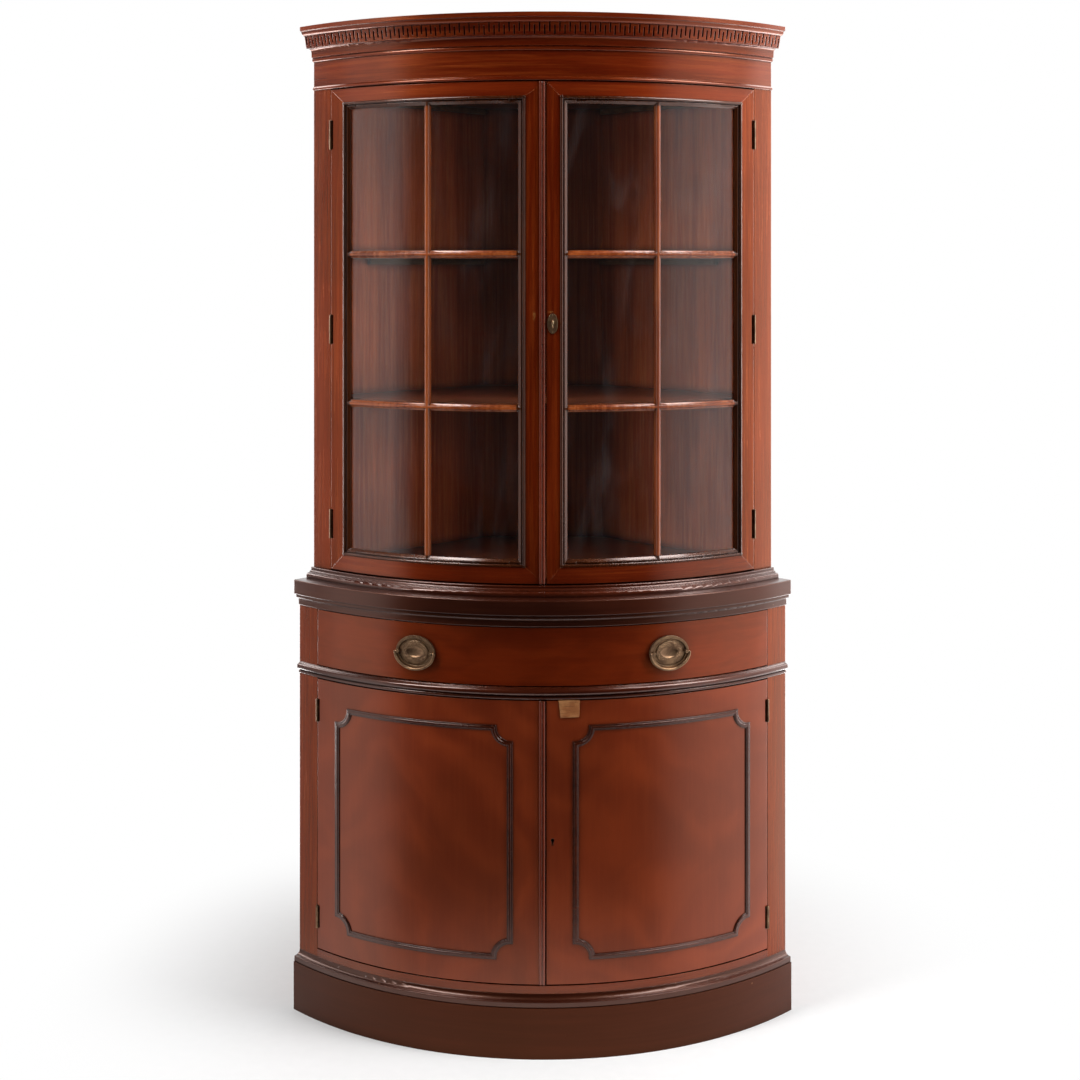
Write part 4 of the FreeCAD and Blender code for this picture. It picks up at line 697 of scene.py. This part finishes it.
screw = {
    "hingeHead": 0.0031,         # radius on a butt hinge
    "plateHead": 0.0021,         # radius on locks and slide bolts
    "pinHead": 0.0009,           # round pins of the escutcheon
    "pinOut": 0.0014,            # how far out of the door's face the pins stand
    "pinApart": 0.0158,          # from the escutcheon's middle to each pin
    "slotShare": 0.22,           # slot's width against the head
    # the slot face's colours, near black as painted shade for the slot's depth
    "slotShadeTones": ((0.006, 0.005, 0.004), (0.03, 0.022, 0.014)),
    "sides": 20,
    "shank": 6.0,                # how deep a head goes, in times it stands proud
    "domeSides": 12,
    "domeRings": 4,
    "domeHigh": 0.7,
    "proud": 0.00004,
    "seed": 7,
}

butts = {                        # each stage's hinge line on the right (x, y), leaf length, middles' levels
    "upper": {"place": (0.42136, -0.07901), "length": 0.057, "levels": (0.966, 1.3525, 1.739)},
    "lower": {"place": (0.44428, -0.10546), "length": 0.044, "levels": (0.1955, 0.6025)},
    "screws": ((-0.35, 0.0095), (0.0, 0.0135), (0.35, 0.0095)),     # share of the length, way behind the pin
    "leafFace": 0.00005,
}

plateScrews = {                  # each plate's turn and inner radius, screw levels, spread to each side
    "door_upper_right": (2.196, 0.618, (1.3495, 1.3895), 1.02),
    "door_lower_right": (2.080, 0.653, (0.3835, 0.4235), 0.97),
    "door_upper_left": (-1.080, 0.626, (0.9025, 0.9385), 0.476),
    "door_lower_left": (-1.024, 0.661, (0.1595, 0.1955), 0.451),
}


def slottedHead(values):
    # a unit countersunk head, flat, with its slot as a face of its own, which takes a near black finish as
    # painted shade for the slot's depth
    sides = values["sides"]
    half = math.acos(values["slotShare"] / 2)
    points, faces, corners = [], [], []
    for side in (1, -1):
        start = len(points)
        turns = [math.pi / 2 - half + 2 * half * i / (sides // 2) for i in range(sides // 2 + 1)]
        points += [(math.cos(turn) * side, math.sin(turn) * side, 1.0) for turn in turns]
        faces.append(list(range(start, len(points))))
        corners += [points[start], points[-1]]
    slot = len(points)
    base = slot + len(corners)
    count = sides * 2
    rim = [(math.cos(math.pi * i / sides), math.sin(math.pi * i / sides)) for i in range(count)]
    points += corners + [(x, y, 1.0) for x, y in rim] + [(x, y, -values["shank"]) for x, y in rim]
    for i in range(count):
        j = (i + 1) % count
        faces.append([base + i, base + count + i, base + count + j, base + j])
    faces.append([slot, slot + 3, slot + 2, slot + 1])
    mesh = meshFrom("slottedHead", points, faces, False)
    mark = mesh.attributes.new("slotFace", "BOOLEAN", "FACE")
    mark.data.foreach_set("value", [False] * (len(faces) - 1) + [True])
    return bpy.data.objects.new("slottedHead", mesh)


def roundHead(values):
    # a unit dome
    rings, sides, high = values["domeRings"], values["domeSides"], values["domeHigh"]
    points, faces = [], []
    for i in range(rings):
        lift = math.pi / 2 * i / rings
        wide = math.cos(lift)
        for j in range(sides):
            turn = 2 * math.pi * j / sides
            points.append((wide * math.cos(turn), wide * math.sin(turn), math.sin(lift) * high))
    points.append((0, 0, high))
    for i in range(rings - 1):
        for j in range(sides):
            k = (j + 1) % sides
            faces.append([i * sides + j, i * sides + k, (i + 1) * sides + k, (i + 1) * sides + j])
    top = (rings - 1) * sides
    faces += [[top + j, top + (j + 1) % sides, len(points) - 1] for j in range(sides)]
    faces.append([sides - 1 - j for j in range(sides)])
    mesh = meshFrom("roundHead", points, faces)
    mesh.attributes.new("slotFace", "BOOLEAN", "FACE")
    return bpy.data.objects.new("roundHead", mesh)


def fastenerTree():
    # a head on every point, along the point's facing and at a random turn
    tree, make, inputs = newTree("fasteners", {
        "Geometry": "Geometry", "Head": "Object", "Radius": "Float", "Proud": "Float", "Seed": "Int",
        "Metal": "Material", "Slot": "Material"})
    head = make("GeometryNodeObjectInfo", {"Object": inputs["Head"]}).outputs["Geometry"]
    facing = make("GeometryNodeInputNamedAttribute", {"Name": "facing"}, data_type="FLOAT_VECTOR")
    aim = make("FunctionNodeAlignRotationToVector", {"Vector": facing.outputs["Attribute"]}, axis="Z")
    turn = make("FunctionNodeRandomValue", {
        "Min": 0.0, "Max": 6.283, "Seed": inputs["Seed"]}, data_type="FLOAT")
    spin = make("FunctionNodeEulerToRotation", {0: make("ShaderNodeCombineXYZ", {2: turn.outputs[1]})})
    placed = make("FunctionNodeRotateRotation", {0: aim, 1: spin}, rotation_space="LOCAL")
    size = combined(make, inputs["Radius"], inputs["Radius"], inputs["Proud"])
    many = make("GeometryNodeInstanceOnPoints", {
        "Points": inputs["Geometry"], "Instance": head, "Rotation": placed, "Scale": size})
    real = make("GeometryNodeRealizeInstances", {"Geometry": many})
    metal = make("GeometryNodeSetMaterial", {"Geometry": real, "Material": inputs["Metal"]})
    chosen = make("GeometryNodeInputNamedAttribute", {"Name": "slotFace"}, data_type="BOOLEAN")
    # the slot faces take the near black finish, painted shade for the slot's depth
    dark = make("GeometryNodeSetMaterial", {
        "Geometry": metal, "Selection": chosen.outputs["Attribute"], "Material": inputs["Slot"]})
    make("NodeGroupOutput", {"Geometry": dark})
    return tree


def fasteners(name, spots, head, radius, proud, finish, tree):
    mesh = bpy.data.meshes.new(name + "_spots")
    mesh.from_pydata([tuple(place) for place, facing in spots], [], [])
    facing = mesh.attributes.new("facing", "FLOAT_VECTOR", "POINT")
    facing.data.foreach_set("vector", [part for place, way in spots for part in way])
    maker = newPiece(name + "_maker", mesh, None)
    addTree(maker, "fasteners", tree, {
        "Head": head, "Radius": radius, "Proud": proud, "Seed": screw["seed"], "Metal": finishes[finish],
        "Slot": finishes["paintedSlotShade"]})
    return treeResult(maker, name)


def hingeSpots(stage, side, toStile):
    values = butts[stage]
    x, y = values["place"][0] * side, values["place"][1]
    out, across = bowWays(math.atan2(x, bowAxis - y))
    sign = side * toStile
    spots = []
    for level in values["levels"]:
        for rise, back in butts["screws"]:
            place = Vector((x, y, level + rise * values["length"])) - out * back
            spots.append((place + across * sign * butts["leafFace"], -across * sign))
    return spots


def plateSpots(turn, radius, levels, spread):
    spots = [bowed(turn + side * spread, radius, level) for level in levels for side in (-1, 1)]
    return [(spot.translation, -spot.col[2].xyz) for spot in spots]


def pinSpots(values):
    low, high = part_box("escutcheon")
    turn = math.degrees(math.asin((low.x + high.x) / 2 / upperFace))
    level = (low.z + high.z) / 2
    spots = [bowed(turn, upperFace + values["pinOut"], level + side * values["pinApart"]) for side in (-1, 1)]
    return [(spot.translation, spot.col[2].xyz) for spot in spots]


def paintedSlotShade(values):
    material, make = newMaterial("paintedSlotShade")
    darkest, palest = values["slotShadeTones"]
    # near black with a little variation, painted shade for the depth of a slot the flat head doesn't have
    slotShadeMix = ramp(make, noise(make, objectPlace(make), 900, 2), [(0.3, darkest), (0.7, palest)])
    finishWith(make, {"Base Color": slotShadeMix, "Roughness": 0.8})
    return material


def makeFasteners():
    finishes["paintedSlotShade"] = paintedSlotShade(screw)
    tree = fastenerTree()
    slotted, domed = slottedHead(screw), roundHead(screw)
    onHinges = {
        "case": [spot for stage in ("upper", "lower") for side in (-1, 1)
                 for spot in hingeSpots(stage, side, 1)],
        "door_upper_left": hingeSpots("upper", -1, -1),
        "door_upper_right": hingeSpots("upper", 1, -1),
        "door_lower_left": hingeSpots("lower", -1, -1),
        "door_lower_right": hingeSpots("lower", 1, -1),
    }
    rows = [("screws_", body, spots, "hingeHead", "hingeBrass") for body, spots in onHinges.items()]
    rows += [("plate_screws_", body, plateSpots(*where), "plateHead", "agedBrass")
             for body, where in plateScrews.items()]
    made = 0
    for word, body, spots, head, finish in rows:
        mesh = fasteners(word + body, spots, slotted, screw[head], screw["proud"], finish, tree)
        piece = newPiece(word + body, mesh, None)
        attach(piece, body)
        made += len(spots)
    spots = pinSpots(screw)
    mesh = fasteners("escutcheonPins", spots, domed, screw["pinHead"], screw["pinHead"], "agedBrass", tree)
    pins = newPiece("escutcheonPins", mesh, None)
    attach(pins, "door_upper_right")
    for head in (slotted, domed):
        bpy.data.objects.remove(head)
    return made + len(spots)


print("screws and pins:", makeFasteners())


# leaf wreath and bead ring on each oval pull

pull = {
    "angle": 20.5,
    "level": 0.7466,
    "wreathRows": (              # half length and height, the leaves' swing to each side, seed
        (0.0234, 0.0168, 1.5, 11),
        (0.0210, 0.0144, -1.5, 12)),
    "wreathLeaves": 30,
    "leafLong": 0.0052,
    "leafWide": 0.0022,
    "wreathRise": 0.0043,
    "beads": 64,
    "beadWide": 0.0330,          # half the ring's length and height
    "beadHigh": 0.0240,
    "beadSize": 0.00085,
    "beadRise": 0.0017,
    "beadSeed": 3,
}


def leafShape():
    # a pointed leaf with a raised rib, one unit long on x
    stations = (                 # place along the leaf, half width, height
        (-0.50, 0.00, 0.06), (-0.25, 0.55, 0.32), (0.05, 0.50, 0.40), (0.30, 0.28, 0.26), (0.50, 0.00, 0.08))
    points, faces = [], []
    for x, wide, high in stations:
        points += [(x, -wide, 0.0), (x, -wide * 0.5, high * 0.75), (x, 0, high * 1.15),
                   (x, wide * 0.5, high * 0.75), (x, wide, 0.0)]
    for i in range(len(stations) - 1):
        for j in range(4):
            first = i * 5 + j
            faces.append([first, first + 5, first + 6, first + 1])
    return bpy.data.objects.new("leafShape", meshFrom("leafShape", points, faces))


def beadShape():
    ball = bmesh.new()
    bmesh.ops.create_icosphere(ball, subdivisions=1, radius=1.0)
    mesh = bpy.data.meshes.new("beadShape")
    ball.to_mesh(mesh)
    ball.free()
    for face in mesh.polygons:
        face.use_smooth = True
    return bpy.data.objects.new("beadShape", mesh)


def borderTree():
    # one shape repeated round an oval, every other one swung the other way
    tree, make, inputs = newTree("ovalBorder", {
        "Half width": "Float", "Half height": "Float", "Count": "Int", "Shape": "Object", "Size": "Vector",
        "Splay": "Float", "Seed": "Int", "Metal": "Material"})
    circle = make("GeometryNodeCurvePrimitiveCircle", {"Resolution": 96, "Radius": 1.0}, mode="RADIUS")
    size = combined(make, inputs["Half width"], inputs["Half height"], 1.0)
    oval = make("GeometryNodeTransform", {"Geometry": circle.outputs["Curve"], "Scale": size})
    even = make("GeometryNodeResampleCurve", {"Curve": oval, "Count": inputs["Count"]})
    along = make("GeometryNodeInputTangent")
    aim = make("FunctionNodeAlignRotationToVector", {"Vector": along}, axis="X", pivot_axis="Z")
    odd = sums(make, "MODULO", make("GeometryNodeInputIndex"), 2.0)
    swing = sums(make, "MULTIPLY", sums(make, "SUBTRACT", odd, 0.5), inputs["Splay"])
    stray = make("FunctionNodeRandomValue", {
        "Min": -0.06, "Max": 0.06, "Seed": inputs["Seed"]}, data_type="FLOAT")
    swing = sums(make, "ADD", swing, stray.outputs[1])
    spin = make("FunctionNodeEulerToRotation", {0: make("ShaderNodeCombineXYZ", {2: swing})})
    placed = make("FunctionNodeRotateRotation", {0: aim, 1: spin}, rotation_space="LOCAL")
    shape = make("GeometryNodeObjectInfo", {"Object": inputs["Shape"]}).outputs["Geometry"]
    many = make("GeometryNodeInstanceOnPoints", {
        "Points": even, "Instance": shape, "Rotation": placed, "Scale": inputs["Size"]})
    real = make("GeometryNodeRealizeInstances", {"Geometry": many})
    metal = make("GeometryNodeSetMaterial", {"Geometry": real, "Material": inputs["Metal"]})
    make("NodeGroupOutput", {"Geometry": metal})
    return tree


def ovalBorder(name, tree, side, rise, settings):
    maker = newPiece(name + "_maker", bpy.data.meshes.new(name + "_maker"), None)
    addTree(maker, "ovalBorder", tree, {**settings, "Metal": finishes["agedBrass"]})
    mesh = treeResult(maker, name)
    mesh.transform(bowed(side * pull["angle"], lowerFace + rise, pull["level"]))
    return mesh


def makePulls(values):
    tree = borderTree()
    leaf, bead = leafShape(), beadShape()
    leafSize = (values["leafLong"], values["leafWide"], values["leafWide"])
    for side, word in ((-1, "left"), (1, "right")):
        borders = []
        for wide, high, splay, seed in values["wreathRows"]:
            borders.append(ovalBorder(f"wreath_{word}_{seed}", tree, side, values["wreathRise"], {
                "Half width": wide, "Half height": high, "Count": values["wreathLeaves"], "Shape": leaf,
                "Size": leafSize, "Splay": splay, "Seed": seed}))
        borders.append(ovalBorder(f"beads_{word}", tree, side, values["beadRise"], {
            "Half width": values["beadWide"], "Half height": values["beadHigh"], "Count": values["beads"],
            "Shape": bead, "Size": (values["beadSize"],) * 3, "Splay": 0.0, "Seed": values["beadSeed"]}))
        piece = newPiece("pull_border_" + word, joinMeshes("pull_border_" + word, borders), None)
        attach(piece, "drawer")
    for shape in (leaf, bead):
        bpy.data.objects.remove(shape)


makePulls(pull)
print("pull borders made")


# leather tab over the right lower door's edge

tab = {
    "face": 0.6853,              # radius of the tab's back, just off the door
    "middleRadius": 0.686,
    "over": 0.0145,              # how far it lies back over the door's top edge
    "topWide": 0.0400,
    "bottomWide": 0.0355,
    "thick": 0.0014,
    "play": 0.0002,
    "lean": 0.0012,              # how far the bottom is shifted sideways
    "tilt": 0.0009,              # and tipped
    "ripple": 0.00025,
    "columns": 14,
    "hang": (                    # outwards in thicknesses, and down from the door's top edge
        (0.75, 0.0016), (0.7, 0.006), (0.62, 0.014), (0.66, 0.022)),
    "footHang": ((0.9, 0.004), (1.05, 0.0004)),     # outwards in thicknesses, and up from the tab's foot
    "roundness": 2,
}


def tabPath(values, top, foot):
    # radius and level of the leather's middle, from the door's top edge down
    face, thick = values["face"], values["thick"]
    path = [(face - values["over"], top + thick / 2), (face - 0.008, top + thick / 2),
            (face - 0.002, top + thick / 2 + 0.0001), (face + 0.0003, top + 0.0001)]
    path += [(face + out * thick, top - down) for out, down in values["hang"]]
    return path + [(face + out * thick, foot + up) for out, up in values["footHang"]]


def makeTab(values):
    low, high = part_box("pull_tab")
    middle = math.asin((low.x + high.x) / 2 / values["middleRadius"])
    top = high.z - values["thick"] - values["play"]
    foot = low.z
    path = tabPath(values, top, foot)
    columns = values["columns"]
    points, faces = [], []
    for radius, level in path:
        share = min(max((top - level) / (top - foot), 0), 1)     # 0 at the door's top edge, 1 at the foot
        wide = values["topWide"] + (values["bottomWide"] - values["topWide"]) * share
        for i in range(columns + 1):
            along = i / columns - 0.5
            turn = middle + (along * wide + values["lean"] * share) / lowerFace
            reach = radius + values["ripple"] * share * math.sin(9 * along + 7 * share)
            points.append((math.sin(turn) * reach, bowAxis - math.cos(turn) * reach,
                           level + values["tilt"] * share * along))
    for i in range(len(path) - 1):
        for j in range(columns):
            first = i * (columns + 1) + j
            faces.append([first, first + columns + 1, first + columns + 2, first + 1])
    piece = newPiece("leather_tab", meshFrom("leather_tab", points, faces), "tanLeather")
    body = piece.modifiers.new("thickness", "SOLIDIFY")
    body.thickness = values["thick"]
    body.offset = 0
    rounding = piece.modifiers.new("rounding", "SUBSURF")
    rounding.levels = rounding.render_levels = values["roundness"]
    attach(piece, "door_lower_right")
    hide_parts("pull_tab")


makeTab(tab)
print("leather tab made")


# floor, lamps and world

studio = {
    "floorSize": 14.0,
    "floorTones": (0.87, 0.89),
    "floorBounce": 0.42,         # what the floor gives back to the cabinet
    "fadeStart": 0.40,           # where the floor's shadow gives way to white, from the cabinet's middle
    "fadeEnd": 1.05,
    "walls": (                   # bearing from the front in degrees, and how bright the studio is there
        (-180, 1.20), (-132, 0.90), (-128, 9.0), (-116, 9.0), (-112, 0.40), (-84, 0.42), (-77, 0.78),
        (-60, 0.82), (-50, 0.03), (0, 0.010), (40, 0.03), (52, 0.75), (72, 0.95), (82, 0.80), (91, 1.80),
        (104, 1.80), (116, 2.0), (119, 9.0), (131, 9.0), (135, 1.40), (180, 1.20)),
    "brightest": 10.0,           # no wall is brighter
    "softWall": 1.6,             # nor brighter than this where light falls without a reflection
    "frontFill": 0.05,           # even light that no polish reflects
    "wallShare": 0.5,            # how much of the walls' light falls as soft light
    "throughGlass": 0.05,
    "ceiling": 0.35,             # how bright the studio is overhead, against its walls
    "ceilingStart": 0.45,        # how steeply up it begins and is reached, 1 being straight up
    "ceilingEnd": 0.8,
    "lamps": {                   # place, size, radiance, point it faces, whether polish shows it
        "leftBox": ((-1.95, -1.35, 3.42), (0.62, 2.3), 13.0, (0, -0.2, 1.0), True),
        "rightBox": ((2.10, -0.95, 3.42), (1.0, 2.3), 10.0, (0, -0.1, 1.0), True),
        "leftScreen": ((-2.70, -1.15, 1.3), (1.0, 2.0), 3.6, (0, 0, 1.2), False),
        "rightScreen": ((2.90, -0.65, 1.3), (1.2, 2.0), 8.0, (0, 0, 1.2), False),
    },
}


def wallLight(make, values, east, north):
    # how bright the studio is on the bearing of a point or a direction
    bearing = sums(make, "ARCTAN2", east, sums(make, "MULTIPLY", north, -1.0))
    share = ranged(make, bearing, -math.pi, math.pi)
    walls = [(degree / 360 + 0.5, bright / values["brightest"]) for degree, bright in values["walls"]]
    return sums(make, "MULTIPLY", ramp(make, share, walls), values["brightest"])


def makeFloor(values):
    half = values["floorSize"] / 2
    corners = [(-half, -half, 0), (half, -half, 0), (half, half, 0), (-half, half, 0)]
    mesh = meshFrom("floor", corners, [[0, 1, 2, 3]])
    material, make = newMaterial("paleFloor")
    place = objectPlace(make)
    path = make("ShaderNodeLightPath").outputs
    darker, paler = values["floorTones"]
    tone = ramp(make, noise(make, place, 40, 3), [(0.3, darker), (0.7, paler)])
    tone = blendColours(make, path["Is Diffuse Ray"], tone, (values["floorBounce"],) * 3)
    rough = make("ShaderNodeBsdfDiffuse", {"Color": tone})
    spot = separated(make, place)
    bright = blendFloats(make, path["Is Camera Ray"], wallLight(make, values, spot["X"], spot["Y"]), 1.0)
    glow = make("ShaderNodeEmission", {"Color": (1, 1, 1, 1), "Strength": bright})
    away = vectors(make, "LENGTH", place)
    fade = ranged(make, away, values["fadeStart"], values["fadeEnd"], way="SMOOTHSTEP")
    seen = sums(make, "MAXIMUM", path["Is Glossy Ray"], path["Is Transmission Ray"])
    seen = sums(make, "MAXIMUM", path["Is Camera Ray"], seen)
    mixed = make("ShaderNodeMixShader", {0: sums(make, "MULTIPLY", fade, seen), 1: rough, 2: glow})
    make("ShaderNodeOutputMaterial", {"Surface": mixed})
    floor = newPiece("floor", mesh, None)
    mesh.materials.append(material)


def makeWorld(values):
    world = bpy.data.worlds.new("studio")
    world.use_nodes = True
    world.node_tree.nodes.clear()
    make = nodeMaker(world.node_tree)
    way = separated(make, make("ShaderNodeTexCoord").outputs["Generated"])
    rise = ranged(make, way["Z"], values["ceilingStart"], values["ceilingEnd"], 1.0, values["ceiling"],
                  "SMOOTHSTEP")
    bright = sums(make, "MULTIPLY", wallLight(make, values, way["X"], way["Y"]), rise)
    soft = sums(make, "MINIMUM", bright, values["softWall"])
    fill = sums(make, "MULTIPLY_ADD", soft, values["wallShare"], values["frontFill"])
    path = make("ShaderNodeLightPath").outputs
    seen = blendFloats(make, path["Is Glossy Ray"], fill, bright)
    through = sums(make, "ADD", bright, values["throughGlass"])
    seen = blendFloats(make, path["Is Transmission Ray"], seen, through)
    around = make("ShaderNodeBackground", {"Color": (1, 1, 1, 1), "Strength": seen})
    white = make("ShaderNodeBackground", {"Color": (1, 1, 1, 1), "Strength": 1.0})
    shown = make("ShaderNodeMixShader", {0: path["Is Camera Ray"], 1: around, 2: white})
    make("ShaderNodeOutputWorld", {"Surface": shown})
    bpy.context.scene.world = world


def makeLamps(values):
    for name, (place, size, radiance, target, shiny) in values["lamps"].items():
        lamp = bpy.data.lights.new(name, "AREA")
        lamp.shape = "RECTANGLE"
        lamp.size, lamp.size_y = size
        lamp.energy = radiance * math.pi * size[0] * size[1]
        thing = bpy.data.objects.new(name, lamp)
        thing.location = place
        thing.rotation_euler = (Vector(target) - Vector(place)).to_track_quat("-Z", "Y").to_euler()
        thing.visible_camera = False
        thing.visible_glossy = thing.visible_transmission = shiny
        bpy.context.scene.collection.objects.link(thing)


makeFloor(studio)
makeWorld(studio)
makeLamps(studio)
bpy.context.scene.view_settings.view_transform = "Standard"
print("studio set")

bpy.context.view_layer.update()
